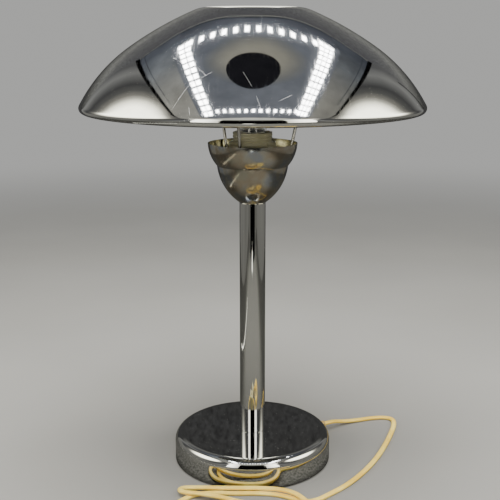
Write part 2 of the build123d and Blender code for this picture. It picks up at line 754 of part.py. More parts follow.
def biarc(start, start_way, end, end_way):
    """Two tangent arcs between two points, each with the way that the line goes there."""
    span = end - start
    both = start_way + end_way
    spread = 2 * (1 - start_way.dot(end_way))
    reach = (math.sqrt(span.dot(both) ** 2 + spread * span.dot(span)) - span.dot(both)) / spread
    middle = (start + end + (start_way - end_way) * reach) * 0.5
    return [
        TangentArc(start, middle, tangent=start_way),
        TangentArc(middle, end, tangent=(end - end_way * reach) - middle),
    ]


def coil_path():
    """Centreline of the coil, a half turn at a time: in along the floor, up a layer, and out again."""
    x, y = COIL_CENTRE
    climb = COIL_HALF_TURNS // 2
    stations = []
    for index in range(COIL_HALF_TURNS + 1):
        steps = min(index, COIL_HALF_TURNS - index)
        radius = COIL_OUTER_RADIUS - COIL_STEP * steps
        side = 1 if index % 2 == 0 else -1
        level = flex_radius + (COIL_LAYER_RISE if index > climb else 0)
        stations.append((Vector(x, y + side * radius, level), Vector(side, 0, 0)))
    first, first_way = stations[0]
    last, last_way = stations[-1]
    edges = [Line(first - first_way * FLEX_DIAMETER, first)]
    for (start, start_way), (end, end_way) in zip(stations, stations[1:]):
        edges += biarc(start, start_way, end, end_way)
    edges.append(Line(last, last + last_way * FLEX_DIAMETER))
    return Wire([edge for part in edges for edge in part.edges()])


def least_gap(path):
    """Smallest space between turns of a path, measured on points along it."""
    spacing = flex_radius / 2
    count = round(path.length / spacing)
    points = [path @ (index / count) for index in range(count + 1)]
    apart = round(math.pi * FLEX_DIAMETER / spacing)
    closest = math.inf
    for index, point in enumerate(points):
        for other in points[index + apart :]:
            closest = min(closest, (point - other).length)
    return closest - FLEX_DIAMETER


def coil():
    """The coil as one unbroken tube. Prints its length and its least gap to itself."""
    path = coil_path()
    tube = swept(path, flex_radius)
    expected = math.pi * flex_radius**2 * path.length
    print(f"cord_coil length {path.length:.0f} volume over section times length {tube.volume / expected:.4f}")
    print(f"cord_coil least gap to itself {least_gap(path):.2f}")
    save("cord_coil", tube)
    return path


def switch_block(inset, low, high, edge):
    """A rounded block of the switch's outline, drawn inwards by inset."""
    outline = RectangleRounded(
        SWITCH_LENGTH - 2 * inset, SWITCH_WIDTH - 2 * inset, SWITCH_CORNER - inset
    )
    block = extrude(outline, high - low)
    if edge:
        block = fillet(block.faces().sort_by(Axis.Z)[-1].edges(), edge)
    return Pos(*SWITCH_CENTRE, low) * block


def switch_screws(fit):
    """The pair of housing screws, or with a fit the holes for them."""
    screws = []
    for side in (-1, 1):
        x = SWITCH_CENTRE[0] + side * SWITCH_SCREW_SPREAD
        y = SWITCH_CENTRE[1]
        tip = SWITCH_LOWER_HEIGHT - SWITCH_WALL
        head = rod(SWITCH_SCREW_HEAD + fit, SWITCH_SCREW_RECESS, SWITCH_WALL, x, y)
        shank = rod(SWITCH_SCREW_SHANK + fit, SWITCH_SCREW_RECESS, tip, x, y)
        screws.append(head + shank)
    return Compound(screws)


def switch():
    """Two moulded halves round a rocker on its pivot, with the contact blades and screws."""
    x, y = SWITCH_CENTRE
    flex_bore = Pos(x, y, SWITCH_LOWER_HEIGHT) * Rot(0, 90, 0)
    flex_bore = flex_bore * Cylinder(flex_radius + FLEX_FIT, SWITCH_LENGTH)
    lower = switch_block(0, 0, SWITCH_LOWER_HEIGHT, 0)
    lower = lower - switch_block(SWITCH_WALL, SWITCH_WALL, SWITCH_LOWER_HEIGHT, 0)
    pillar_radius = SWITCH_SCREW_HEAD + SWITCH_PILLAR_WALL
    for side in (-1, 1):
        pillar_top = SWITCH_LOWER_HEIGHT - flex_radius - FLEX_FIT
        lower = lower + rod(pillar_radius, 0, pillar_top, x + side * SWITCH_SCREW_SPREAD, y)
    openings = [
        rod(SWITCH_SCREW_HEAD + FLEX_FIT, 0, SWITCH_WALL, x + side * SWITCH_SCREW_SPREAD, y)
        for side in (-1, 1)
    ]
    save("switch_lower", lower - flex_bore - switch_screws(FLEX_FIT) - openings)
    save("switch_screws", switch_screws(0))
    upper = switch_block(0, SWITCH_LOWER_HEIGHT, switch_height, SWITCH_EDGE)
    upper = upper - switch_block(SWITCH_WALL, SWITCH_LOWER_HEIGHT, switch_height - SWITCH_WALL, 0)
    window = 2 * (ROCKER_REACH + ROCKER_GAP), ROCKER_WIDTH + 2 * ROCKER_GAP
    upper = upper - Pos(x, y, switch_height) * Box(*window, CUT_REACH * SWITCH_WALL)
    pivot = Pos(x, y, ROCKER_PIVOT_HEIGHT) * Rot(90, 0, 0)
    ear_low = ROCKER_PIVOT_HEIGHT - 2 * PIVOT_RADIUS
    ear_high = switch_height - SWITCH_WALL
    ear_offset = window[1] / 2 + PIVOT_EAR / 2
    for side in (-1, 1):
        ear = Box(4 * PIVOT_RADIUS, PIVOT_EAR, ear_high - ear_low)
        upper = upper + Pos(x, y + side * ear_offset, (ear_low + ear_high) / 2) * ear
    upper = upper - pivot * Cylinder(PIVOT_RADIUS + PIVOT_FIT, window[1] + 2 * PIVOT_EAR)
    save("switch_upper", upper - flex_bore)
    side_view = Circle(ROCKER_REACH) & make_face(
        Polyline(
            (-ROCKER_REACH, ROCKER_END_HEIGHT),
            (0, ROCKER_CENTRE_HEIGHT),
            (ROCKER_REACH, ROCKER_END_HEIGHT),
            (ROCKER_REACH, PIVOT_RADIUS),
            (2 * PIVOT_RADIUS, -PIVOT_RADIUS),
            (-2 * PIVOT_RADIUS, -PIVOT_RADIUS),
            (-ROCKER_REACH, PIVOT_RADIUS),
            close=True,
        )
    )
    rocker = extrude(Plane.XZ * side_view, ROCKER_WIDTH / 2, both=True)
    rocker = Pos(x, y, ROCKER_PIVOT_HEIGHT) * Rot(0, -ROCKER_TILT, 0) * rocker
    save("switch_rocker", rocker + pivot * Cylinder(PIVOT_RADIUS, ROCKER_WIDTH + 2 * PIVOT_EAR))
    blades = []
    for side in (-1, 1):
        place = Pos(x + side * ROCKER_REACH, y, SWITCH_WALL + BLADE_WIDTH / 2)
        blades.append(place * Box(BLADE_THICKNESS, BLADE_WIDTH, BLADE_WIDTH))
        foot = Pos(x + side * (ROCKER_REACH - BLADE_WIDTH / 2), y, SWITCH_WALL + BLADE_THICKNESS / 2)
        blades.append(foot * Box(BLADE_WIDTH, BLADE_WIDTH, BLADE_THICKNESS))
    save("switch_contacts", Compound([blades[0] + blades[1], blades[2] + blades[3]]))


def plug():
    """Moulded two-pin plug on its side, with a tapered relief and part-sleeved pins."""
    x, y = PLUG_TIP
    rear = x - PLUG_RELIEF_LENGTH
    face = rear - PLUG_BODY_LENGTH
    across = Plane(origin=(rear, y, plug_axis), x_dir=(0, 1, 0), z_dir=(-1, 0, 0))
    sections = []
    for share, width, thickness in (
        (0, PLUG_REAR_WIDTH, PLUG_REAR_THICKNESS),
        (PLUG_WAIST_SHARE, (PLUG_REAR_WIDTH + PLUG_WIDTH) / 2, PLUG_WAIST_SLIM * PLUG_THICKNESS),
        (1, PLUG_WIDTH, PLUG_THICKNESS),
    ):
        outline = RectangleRounded(width, thickness, PLUG_CORNER_SHARE * thickness)
        sections.append(across.offset(share * PLUG_BODY_LENGTH) * outline)
    body = loft(sections, ruled=True)
    bore = flex_radius + FLEX_FIT
    relief = along_x(
        (rear - bore, 0),
        (x, 0),
        (x, PLUG_RELIEF_TIP),
        (rear, PLUG_RELIEF_ROOT),
        (rear - bore, PLUG_RELIEF_ROOT),
    )
    body = body + Pos(0, y, plug_axis) * relief
    root = face + PIN_ROOT
    step = face - PIN_SLEEVE_LENGTH
    tip = face - PIN_LENGTH
    pins = []
    sleeves = []
    for side in (-1, 1):
        axis = Pos(0, y + side * PIN_SPACING / 2, plug_axis)
        pin = along_x(
            (root, 0),
            (root, PIN_CORE_RADIUS),
            (step, PIN_CORE_RADIUS),
            (step, PIN_RADIUS),
            (tip + PIN_RADIUS / 2, PIN_RADIUS),
            (tip, PIN_RADIUS / 2),
            (tip, 0),
        )
        sleeve_radius = PIN_RADIUS - PIN_SLEEVE_INSET
        sleeve = along_x(
            (face, PIN_CORE_RADIUS),
            (face, sleeve_radius),
            (step, sleeve_radius),
            (step, PIN_CORE_RADIUS),
        )
        hole = along_x((root, 0), (root, PIN_CORE_RADIUS), (face, PIN_CORE_RADIUS), (face, 0))
        pins.append(axis * pin)
        sleeves.append(axis * sleeve)
        body = body - axis * hole
    save("plug_body", body)
    save("plug_pins", Compound(pins))
    save("pin_sleeves", Compound(sleeves))


def free_flex():
    """The free flex in its stretches, laid on the floor, and its total length."""
    x, y = SWITCH_CENTRE
    entry = SWITCH_LENGTH / 2 - SWITCH_GRIP
    coil_line = coil()
    outlet = [outlet_point(relief_tip), outlet_point(relief_tip + OUTLET_RUN)]
    lead = [*outlet, *LEAD_ROUTE, (x - entry, y, SWITCH_LOWER_HEIGHT)]
    loop = [(x + entry, y, SWITCH_LOWER_HEIGHT), *LOOP_ROUTE, tuple(coil_line @ 0)]
    tail = [tuple(coil_line @ 1), *TAIL_ROUTE, (*PLUG_TIP, plug_axis)]
    total = flex("flex_lead", lead) + flex("flex_loop", loop) + flex("flex_tail", tail)
    total += coil_line.length + 2 * entry
    print(f"free flex from the base to the plug {total:.0f}")


os.makedirs("parts", exist_ok=True)
base_cover()
base_inside()
stem()
cup()
holder_shells()
holder_inside()
bulb()
carrier()
shade()
cord_relief()
inner_flex()
free_flex()
switch()
plug()
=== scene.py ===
import math

import bmesh
import bpy
from mathutils import Matrix, Vector


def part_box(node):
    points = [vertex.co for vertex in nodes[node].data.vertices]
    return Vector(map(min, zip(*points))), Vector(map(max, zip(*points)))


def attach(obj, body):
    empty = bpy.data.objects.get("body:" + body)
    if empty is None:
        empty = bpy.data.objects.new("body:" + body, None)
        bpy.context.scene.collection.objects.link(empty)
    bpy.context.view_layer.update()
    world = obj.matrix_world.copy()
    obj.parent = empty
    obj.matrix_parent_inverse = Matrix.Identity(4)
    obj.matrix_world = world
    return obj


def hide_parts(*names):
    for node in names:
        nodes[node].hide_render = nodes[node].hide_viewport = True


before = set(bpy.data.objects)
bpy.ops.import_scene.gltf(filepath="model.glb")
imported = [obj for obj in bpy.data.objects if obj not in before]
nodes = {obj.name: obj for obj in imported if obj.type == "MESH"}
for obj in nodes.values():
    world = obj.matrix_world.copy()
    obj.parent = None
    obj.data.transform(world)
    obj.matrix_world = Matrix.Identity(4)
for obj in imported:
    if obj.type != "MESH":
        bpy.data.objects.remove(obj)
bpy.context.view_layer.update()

# Camera and image, matched to the photograph
IMAGE_SIZE = 500
FOCAL_PIXELS = 931.36
SENSOR_WIDTH = 36.0
CAMERA_PLACE = (-0.0026, -0.9299, 0.449)
CAMERA_TILT = 0.234

# Spun shapes: curves of the shade, cup and base, in metres and degrees, and flats at edges
SHADE_WALL = 0.001
CROWN_SHOULDER_RADIUS = 0.035
UPPER_CURVE = 0.344
LOWER_CURVE = 0.1621
CROWN_SLOPE = 22.8
WAIST_SLOPE = 34.8
RIM_SLOPE = 61.1
RIM_ROLL_RADIUS = 0.005
RIM_ROLL_TURN = 205.0
CUP_WALL = 0.0008
CUP_FOOT_RADIUS = 0.0131
CUP_STEP_RADIUS = 0.0358
CUP_STEP_HEIGHT = 0.0377
CUP_LOWER_CURVE = 0.053
CUP_UPPER_CURVE = 0.0374
CUP_CREASE = 0.0005
BASE_EDGE_RADIUS = 0.010
BASE_WALL = 0.001
EDGE = 0.0003
LONGEST_FLAT = 0.4
STEM_EDGE = 0.00042
DRILL_OVERRUN = 0.005

# Ragged edge of the felt: size, count and shift of each wave
FELT_WAVES = ((0.3, 37, 0), (0.2, 91, 1))

# Lampholder and its threads
SKIRT_BORE = 0.0165
SKIRT_RADIUS = 0.020
SKIRT_PITCH = 0.0031
SKIRT_THREAD = 0.0008
RING_GRIPS = 5
RING_GRIP_RADIUS = 0.0009
RING_GRIP_ANGLE = -51.7
CAP_RIBS = 40
HOLDER_WALL = 0.0022
HOLDER_NECK_RADIUS = 0.0085
HOLDER_NECK_STRAIGHT = 0.004
HOLDER_NECK_LENGTH = 0.012
RING_FLUTE = 0.0005
RING_FIT = 0.00015

# Bulb
BULB_PITCH = 0.00363
BULB_THREAD = 0.0010
BULB_RADIUS = 0.030
BULB_NECK_RADIUS = 0.0139
BULB_NECK_RISE = 0.006
BULB_TANGENT = -25.0
BULB_FLARE = 0.012
BULB_GLASS_WALL = 0.0007
BULB_CAP_WALL = 0.0004
BULB_BAND = 0.0035
FILAMENT_WIRE = 0.00012
FILAMENT_SAG = 0.0012
LEAD_WIRE = 0.0003
FILAMENT_TURNS = 34
LEAD_HANG = 6
MOUNT_FLARE = 1.5

# Wire carrier
WIRE_RADIUS = 0.0016
WIRE_BEND = 0.006
WIRE_FOOT = 0.0393
WIRE_ANGLES = (12.7, 132.7, 252.7)
PLATE_FIT = 0.0002
WELD_BEAD = 0.0021

# Flat twin flex. Its groove is a share of a core's radius, and a point with no height lies at its level
FLEX_WIDTH = 0.0056
FLEX_THICKNESS = 0.0034
FLEX_GROOVE = 0.78
FLEX_LEVEL = FLEX_THICKNESS / 2

# In-line switch. The rocker's shoulder is a share of its reach, and its flanks are angles from the level
SWITCH_PLACE = (-0.018, -0.1565)
SWITCH_SCREW_SPREAD = 0.022
SWITCH_SCREW_HEAD = 0.0026
SWITCH_SCREW_SHANK = 0.0013
SWITCH_SCREW_NECK = 0.0018
SWITCH_SCREW_PITCH = 0.0006
SWITCH_SCREW_CROWN = 0.8
SWITCH_SLOT = 2.2
ROCKER_REACH = 0.010
ROCKER_PIVOT = 0.0115
ROCKER_MIDDLE = 0.0042
ROCKER_END = 0.0056
ROCKER_TILT = 9.0
ROCKER_SHOULDER = 0.83
ROCKER_GRIPPED = (0.2, 0.94)
ROCKER_CHEEK = 0.975
ROCKER_FLANKS = (8, 3)
ROCKER_STEPS = 96
ROCKER_PIN = 0.0013
ROCKER_WIDTH = 0.0096
ROCKER_RIB = 0.0011
ROCKER_GROOVE = 0.0003

# Plug on its side. Its sections are a share of the way from rear to face, a width and a thickness
PLUG_AXIS = (-0.190, 0.00685)
PLUG_REAR = 0.026
PLUG_FACE = -0.004
PLUG_SECTIONS = ((0.0, 0.0130, 0.0100), (0.55, 0.02415, 0.013015), (1.0, 0.0353, 0.0137))
PLUG_CORNER = 0.35
PLUG_STEPS = 120
PLUG_GRIPS = (0.12, 0.56, 7)
PLUG_GRIP_DEPTH = 0.0006
PLUG_RELIEF = (0.0046, 0.0036)
PLUG_RELIEF_TIP = 0.046
PLUG_RELIEF_RIBS = 9
PIN_SPACING = 0.0186
PIN_RADIUS = 0.0020
PIN_CORE = 0.0015
PIN_ROOT = 0.004
PIN_STEP = -0.014
PIN_TIP = -0.023
PIN_BORE_END = -0.010

# Coil of put-away flex
COIL_CENTRE = (0.100, -0.165)
COIL_RADIUS = 0.036
COIL_STEP = 0.0037
COIL_HALF_TURNS = 9
COIL_POINTS = 8
COIL_LAYER = 1.55

# Outlet of the base and the soft relief in it. Rib shares are of the pitch from the start of each rib
OUTLET_ANGLE = 37.0
OUTLET_HEIGHT = 0.008
RELIEF_TIP = 0.1025
OUTLET_RUN = 0.012
RELIEF_HOLE = 0.0042
RELIEF_NECK = 0.0041
RELIEF_COLLAR = 0.0058
RELIEF_COLLAR_THICKNESS = 0.0016
RELIEF_ROOT = 0.0050
RELIEF_END = 0.0037
RELIEF_GROOVE = 0.0011
RELIEF_RIBS = 8
RIB_SHARES = (0.28, 0.34, 0.44, 0.86, 0.97)

# How finely things are drawn: steps round them, and steps in degrees or counts along their curves
SHADE_TURNS = 256
RIBBED_TURNS = 480
FLUTED_TURNS = 720
BULB_TURNS = 144
SLEEVE_TURNS = 96
DRILL_TURNS = 64
PIN_TURNS = 48
PIVOT_TURNS = 32
BEAD_TURNS = 24
HOOP_TURNS = 180
SHADE_STEPS = (7.0, 0.9, 0.5, 1.6)
SHARP_ANGLE = 35.0
CUP_LOWER_STEPS = 24
CUP_UPPER_STEPS = 18
GLASS_STEPS = 16
FILAMENT_STEPS = 12
WIRE_STEPS = 5
FLEX_STEPS = 10

# Studio: a tent of cards. Each light has a name, a place, what it faces, a size, a power and a colour
HORIZON = "AFAFAD"
FLOOR_REACH = 8.0
LIGHTS = (
    ("overhead", (0.02, -0.08, 1.25), (0.02, -0.08, 0), (0.9, 1.1), 40.0, "FFFDF8"),
    ("left_soft", (-1.2, -0.3, 0.9), (0, 0, 0.2), (0.8, 0.6), 10.0, "FFF6E2"),
    ("right_soft", (1.2, -0.3, 0.9), (0, 0, 0.2), (0.8, 0.6), 9.0, "FFF6E2"),
    ("front_fill", (0.0, -1.7, 1.1), (0, 0, 0.2), (1.2, 0.6), 9.0, "FFFFFF"),
    ("under_rim", (0.0, -1.7, 0.40), (0, 0, 0.34), (0.5, 0.25), 6.0, "FFFAEE"),
)
CARD_LIFT = 0.0002
CARD_GAP = 0.001
TENT_LEFT, TENT_RIGHT = -0.70, 0.73
TENT_FRONT, TENT_BACK = -0.97, 1.03
TENT_TOP = 1.10
ROUND_STEPS = 48

# Cards on the floor
FRONT_STRIP = ((-0.09, 0.015), -0.80)
FRONT_SHADE_RIGHT = 0.0
FRONT_SHADE_BACK = -0.87
FLOOR_LINE = ((-0.45, -0.43), (-0.335, 0.17))
FLOOR_LINE_HALF = 0.006

# Ceiling, with a lighter panel and a dark port for the camera. Drops are counts of the card gap
CEILING_MIDDLE = (
    (0.0, "8C8E92"), (0.2, "83878F"), (0.58, "7C8089"), (0.7, "6C707A"), (0.8, "50535B"), (1.0, "50535B"),
)
CEILING_SIDE = (
    (0.0, "93928C"), (0.3, "A6A49B"), (0.45, "8E8E8A"), (0.58, "7B7F83"), (0.75, "565A62"), (1.0, "565A62"),
)
CEILING_SIDE_LEVELS = (1.35, 0.95)
CEILING_FRONT_TONES = (
    (0.0, "FFFBEC"), (0.16, "EEEBDC"), (0.25, "8C8B83"), (0.74, "8C8B83"), (0.83, "EEEBDC"), (1.0, "FFFBEC"),
)
CEILING_FRONT = (-0.97, -0.72)
PANEL_PLACE = (0.02, -0.02, TENT_TOP)
PANEL_TONES = ((0.0, "B9B5A6"), (0.52, "ACA99C"), (0.8, "888987"), (1.0, "7C8088"))
PANEL_REACH = 0.30
PANEL_DROP = 3
PORT_PLACE = (0.004, -0.14)
PORT_SIZE = (0.155, 0.208)
PORT_DROP = 6

# Frame of lamps and the glow round each
LAMP_LEFT = (-0.391, -0.349)
LAMP_RIGHT = (0.378, 0.410, 0.442)
LAMP_LEFT_ENDS = (-0.582, 0.36)
LAMP_RIGHT_ENDS = (-0.565, 0.40)
LAMP_TAPER = 0.945
LAMP_BACK_ENDS = (-0.318, 0.322)
LAMP_FRONT_ENDS = (-0.283, 0.350)
LAMP_BACK, LAMP_BACK_BOW = 0.295, 0.6
LAMP_FRONT, LAMP_FRONT_BOW = -0.597, 0.35
LAMP_ROW_COUNT = 12
LAMP_ROW_HALF = 0.0115
LAMP_BACK_DEPTH, LAMP_FRONT_DEPTH = 0.030, 0.020
LAMP_LEFT_COUNT, LAMP_RIGHT_COUNT = 13, 14
LAMP_LEFT_HALF, LAMP_RIGHT_HALF = 0.0165, 0.0125
LAMP_COLUMN_DEPTH = 0.028
LAMP_DROP = 0.012
HALO_TONES = ("7F8289", "878B93", "93979F")
HALO_REACH, HALO_STEP = 0.045, 0.013
HALO_DROP = 0.007

# Sheet behind, with its hem under the ceiling
SHEET_FOOT = 0.80
SHEET_TONES = (
    (0.0, "454545"), (0.42, "484847"), (0.455, "5D5D5A"), (0.6, "8A8A86"), (0.7, "747473"), (1.0, "606063"),
)
SHEET_GRAIN = 9
HEM_MIDDLE, HEM_SIDE, HEM_WIDTH = 0.47, 0.26, 0.27
HEM_DROP = 0.010
HEM_EDGE = 0.012
HEM_SHADE = 0.04
CROWN_LIGHT_HALF = 0.078
CROWN_LIGHT_HEIGHTS = (0.50, 0.77)
CROWN_LIGHT_GAP = 0.01
CORNER_SEAM = ((0.61, 0.46), (0.87, 1.18))
CORNER_SEAM_WIDTH = 0.014
CORNER_SEAM_LEAN, CORNER_SEAM_GAP = 0.15, 0.02

# Walls, each side with a bright glow, and the front with a black portrait between bright sides
GLOW_PLACE = (-0.13, 0.67)
GLOW_TURN = -48.0
GLOW_SQUASH = (1.0, 1.0, 0.64)
WALL_TONES = (
    (0.0, "BCBBAE"), (0.185, "B2B0A2"), (0.24, "807E73"), (0.275, "4A4943"), (0.31, "2C2B28"),
    (0.37, "1A1A19"), (0.45, "121212"), (0.62, "282827"), (0.78, "1A1A1A"), (1.0, "1A1A1A"),
)
LOW_WALL_TOP = 0.28
LOW_WALL_INSET = 0.999
WALL_SEAM = ((-0.5, 0.028), (0.1, 0.04), (0.74, 0.055))
WALL_SEAM_INSET = 0.998
CREASE_INSET = 0.93
CREASE_WIDTH = 0.99
CREASE_ENDS = (-0.3, 0.7)
CREASE_DROP = 4
FRONT_TONES = ((0.0, "72716B"), (0.5, "82817A"), (1.0, "72716B"))
PORTRAIT_X = (-0.340, 0.342)
PORTRAIT_TOP = 0.80
BRIGHT_FRONT = (0.20, 1.10)
BRIGHT_FRONT_TONES = ((0.0, "F6F3E6"), (0.5, "E6E3D6"), (0.85, "A4A29A"), (1.0, "969489"))

# Scratches on the shade, as points along each, with the centre of its curve. They are drawn wide to be seen
SHADE_SCRATCHES = (
    ((-0.0668, -0.1508, 0.3842), (-0.0543, -0.1423, 0.4015), (-0.0344, -0.1375, 0.4132)),
    ((-0.0482, -0.1281, 0.4178), (-0.0394, -0.1391, 0.4103)),
    ((0.0212, -0.1591, 0.3908), (0.0320, -0.1540, 0.3953)),
    ((-0.0084, -0.1413, 0.4134), (-0.0010, -0.1519, 0.4021)),
    ((-0.0683, -0.1037, 0.4283), (-0.0612, -0.1118, 0.4258)),
    ((-0.0688, -0.1101, 0.4239), (-0.0617, -0.1188, 0.4205)),
    ((0.0025, -0.1576, 0.3948), (0.0056, -0.1628, 0.3873)),
    ((-0.0532, -0.1555, 0.3850), (-0.0521, -0.1596, 0.3791)),
)
SCRATCH_CENTRE = (0.0, 0.0, 0.125)
SCRATCH_WIDTH = 0.00026
SCRATCH_ROUGHNESS = 0.38

# Flex from the relief round to the front, along the base and into the switch
LEAD_ROUTE = (
    (0.1060, 0.0783, 0.0036), (0.1225, 0.0860), (0.1410, 0.0925), (0.1565, 0.0945), (0.1655, 0.0890),
    (0.1645, 0.0730), (0.1575, 0.0500), (0.1475, 0.0220), (0.1350, -0.0085), (0.1180, -0.0410),
    (0.0960, -0.0725), (0.0780, -0.0903), (0.0615, -0.1058), (0.0483, -0.1069), (0.0295, -0.0940),
    (0.0080, -0.0899), (-0.0190, -0.0910), (-0.0420, -0.0886), (-0.0590, -0.0934), (-0.0720, -0.1080),
    (-0.0830, -0.1210), (-0.0845, -0.1370), (-0.0760, -0.1500, 0.0036), (-0.0610, -0.1565, 0.0080),
    (-0.0450, -0.1565, 0.0080),
)

# Flex out of the switch, over the first pass, folded back at the left and into the coil
LOOP_ROUTE = (
    (0.0090, -0.1565, 0.0080), (0.0240, -0.1565, 0.0080), (0.0390, -0.1505, 0.0036), (0.0470, -0.1360),
    (0.0440, -0.1220), (0.0330, -0.1134), (0.0140, -0.1126), (-0.0080, -0.1110, 0.0024),
    (-0.0290, -0.1038, 0.0044), (-0.0500, -0.0978, 0.0055), (-0.0715, -0.0948, 0.0055),
    (-0.0717, -0.0824, 0.0036), (-0.0530, -0.0798, 0.0024), (-0.0340, -0.0832, 0.0038),
    (-0.0120, -0.0863, 0.0053), (0.0100, -0.0864, 0.0054), (0.0300, -0.0900, 0.0055),
    (0.0430, -0.0985, 0.0057), (0.0500, -0.1110, 0.0057), (0.0610, -0.1226, 0.0036), (0.0775, -0.1290),
)

# Flex from the coil to the plug
TAIL_ROUTE = (
    (0.0944, -0.2010, 0.0053), (0.0790, -0.2010, 0.0053), (0.0620, -0.1900, 0.00685),
    (0.0460, -0.1900, 0.00685),
)


def linear(colour):
    """Linear colour of an sRGB hex value."""
    parts = [int(colour[i : i + 2], 16) / 255 for i in (0, 2, 4)]
    return (*[p / 12.92 if p <= 0.04045 else ((p + 0.055) / 1.055) ** 2.4 for p in parts], 1.0)


def per(size):
    """Texture scale for a pattern whose marks are size millimetres apart."""
    return 1000.0 / size


def add(tree, kind, values=None, links=None, stops=(), **settings):
    """Add a node with its settings, colour stops of place and sRGB hex, input values and links."""
    made = tree.nodes.new(kind)
    for key, value in settings.items():
        setattr(made, key, value)
    for index, (place, colour) in enumerate(stops):
        elements = made.color_ramp.elements
        element = elements[index] if index < len(elements) else elements.new(place)
        element.position = place
        element.color = linear(colour)
    for key, value in (values or {}).items():
        made.inputs[key].default_value = value
    for key, source in (links or {}).items():
        tree.links.new(source, made.inputs[key])
    return made


def new_material(name):
    """An empty node material, its tree and the place on the piece that its patterns follow."""
    made = bpy.data.materials.new(name)
    made.use_nodes = True
    tree = made.node_tree
    tree.nodes.clear()
    return made, tree, add(tree, "ShaderNodeTexCoord").outputs["Object"]


def finish(tree, values, links):
    """Close a material with its shader."""
    shader = add(tree, "ShaderNodeBsdfPrincipled", values, links)
    add(tree, "ShaderNodeOutputMaterial", links={"Surface": shader.outputs[0]})


def ranged(tree, value, low, high, span=(0, 1), **settings):
    """A value brought from its span to a range."""
    values = {"From Min": span[0], "From Max": span[1], "To Min": low, "To Max": high}
    return add(tree, "ShaderNodeMapRange", values, {"Value": value}, **settings).outputs[0]


def patchy(tree, place, size, detail, **more):
    """Noise whose marks are size millimetres apart."""
    values = {"Scale": per(size), "Detail": detail, **more}
    return add(tree, "ShaderNodeTexNoise", values, {"Vector": place}).outputs[0]


def rippled(tree, height, strength, distance):
    """Normal of a surface that follows a height, by a strength over a distance in metres."""
    values = {"Strength": strength, "Distance": distance}
    return add(tree, "ShaderNodeBump", values, {"Height": height}).outputs[0]


def vector(tree, operation, first, second=(), output="Vector"):
    """A vector or a value reckoned from a linked vector and, if need be, a given one."""
    values = {1: second} if second else {}
    return add(tree, "ShaderNodeVectorMath", values, {0: first}, operation=operation).outputs[output]


def clouded(tree, place, size, spread, tones, detail=3.0, **more):
    """Soft patches of a size in millimetres, and tones spread evenly over a span of their strength."""
    cloud = patchy(tree, place, size, detail, **more)
    low, high = spread
    stops = [(low + (high - low) * i / (len(tones) - 1), tone) for i, tone in enumerate(tones)]
    return cloud, add(tree, "ShaderNodeValToRGB", links={0: cloud}, stops=stops).outputs[0]


def grimed(tree, tint, grime, low, high, most):
    """A tint with grime in the surface's folds: the most of it below the pointiness low, none above high."""
    fold = add(tree, "ShaderNodeNewGeometry").outputs["Pointiness"]
    settled = ranged(tree, fold, most, 0.0, span=(low, high))
    mixed = {0: settled, 6: tint}
    return add(tree, "ShaderNodeMix", {7: linear(grime)}, mixed, data_type="RGBA").outputs[2]


def merged(tree, so_far, mask, operation):
    """A mask merged into what there is so far, if there is any."""
    if so_far is None:
        return mask
    return add(tree, "ShaderNodeMath", links={0: so_far, 1: mask}, operation=operation).outputs[0]


def scratched(tree, place, scratches):
    """Mask of hairline scratches. Each is cut towards the centre of the shade's curve."""
    mask = None
    for points in scratches:
        for start, end in zip(map(Vector, points), map(Vector, points[1:])):
            along = (end - start).normalized()
            across = along.cross(start - Vector(SCRATCH_CENTRE)).normalized()
            middle = (start + end) / 2
            near = None
            for way, reach in ((across, SCRATCH_WIDTH / 2), (along, (end - start).length / 2)):
                off = vector(tree, "DOT_PRODUCT", place, way, "Value")
                limits = {1: way.dot(middle), 2: reach}
                inside = add(tree, "ShaderNodeMath", limits, {0: off}, operation="COMPARE")
                near = merged(tree, near, inside.outputs[0], "MULTIPLY")
            mask = merged(tree, mask, near, "MAXIMUM")
    return mask


def chrome_plate(name, tones, polish, haze_size=60, scratches=()):
    """Chromium plate over spun brass, buffed to a mirror, hazed by wiping and on the shade scratched by use.

    The marks of wiping are drawn 2 mm apart to be seen.
    """
    made, tree, place = new_material(name)
    haze, tint = clouded(tree, place, haze_size, spread=(0.3, 0.7), tones=tones, Roughness=0.6)
    film = ranged(tree, haze, polish, polish + 0.03, span=(0.3, 0.75))
    turn = {"Rotation": (0.4, 0.2, 0.9), "Scale": (1.0, 0.07, 0.2)}
    turned = add(tree, "ShaderNodeMapping", turn, {"Vector": place}).outputs[0]
    wiped = patchy(tree, turned, size=2, detail=2.0)
    wipe = ranged(tree, wiped, 0.0, 0.06, span=(0.5, 0.72))
    rough = merged(tree, film, wipe, "ADD")
    if scratches:
        cuts = {0: scratched(tree, place, scratches), 2: rough}
        rough = add(tree, "ShaderNodeMath", {1: SCRATCH_ROUGHNESS}, cuts, operation="MULTIPLY_ADD").outputs[0]
    finish(tree, {"Metallic": 1.0}, {"Base Color": tint, "Roughness": rough})
    return made


def tool_marked(tree, tint, marks, smoothest, roughest, depth):
    """Close a metal whose tool marks break up its shine and ripple it."""
    rough = ranged(tree, marks, smoothest, roughest)
    ripple = rippled(tree, marks, depth, distance=0.0001)
    finish(tree, {"Metallic": 1.0}, {"Base Color": tint, "Roughness": rough, "Normal": ripple})


def spun_inside(name, dark, light):
    """Chromium plate left unbuffed, with the spinning tool's rings, drawn 1.2 mm apart to be seen."""
    made, tree, place = new_material(name)
    flat = vector(tree, "MULTIPLY", place, (1, 1, 0))
    radius = vector(tree, "LENGTH", flat, output="Value")
    values = {"Scale": per(1.2), "Detail": 3.0}
    rings = add(tree, "ShaderNodeTexNoise", values, {"W": radius}, noise_dimensions="1D").outputs[0]
    tint = clouded(tree, place, size=50, spread=(0.3, 0.7), tones=(dark, light))[1]
    tool_marked(tree, tint, rings, smoothest=0.14, roughest=0.30, depth=0.25)
    return made


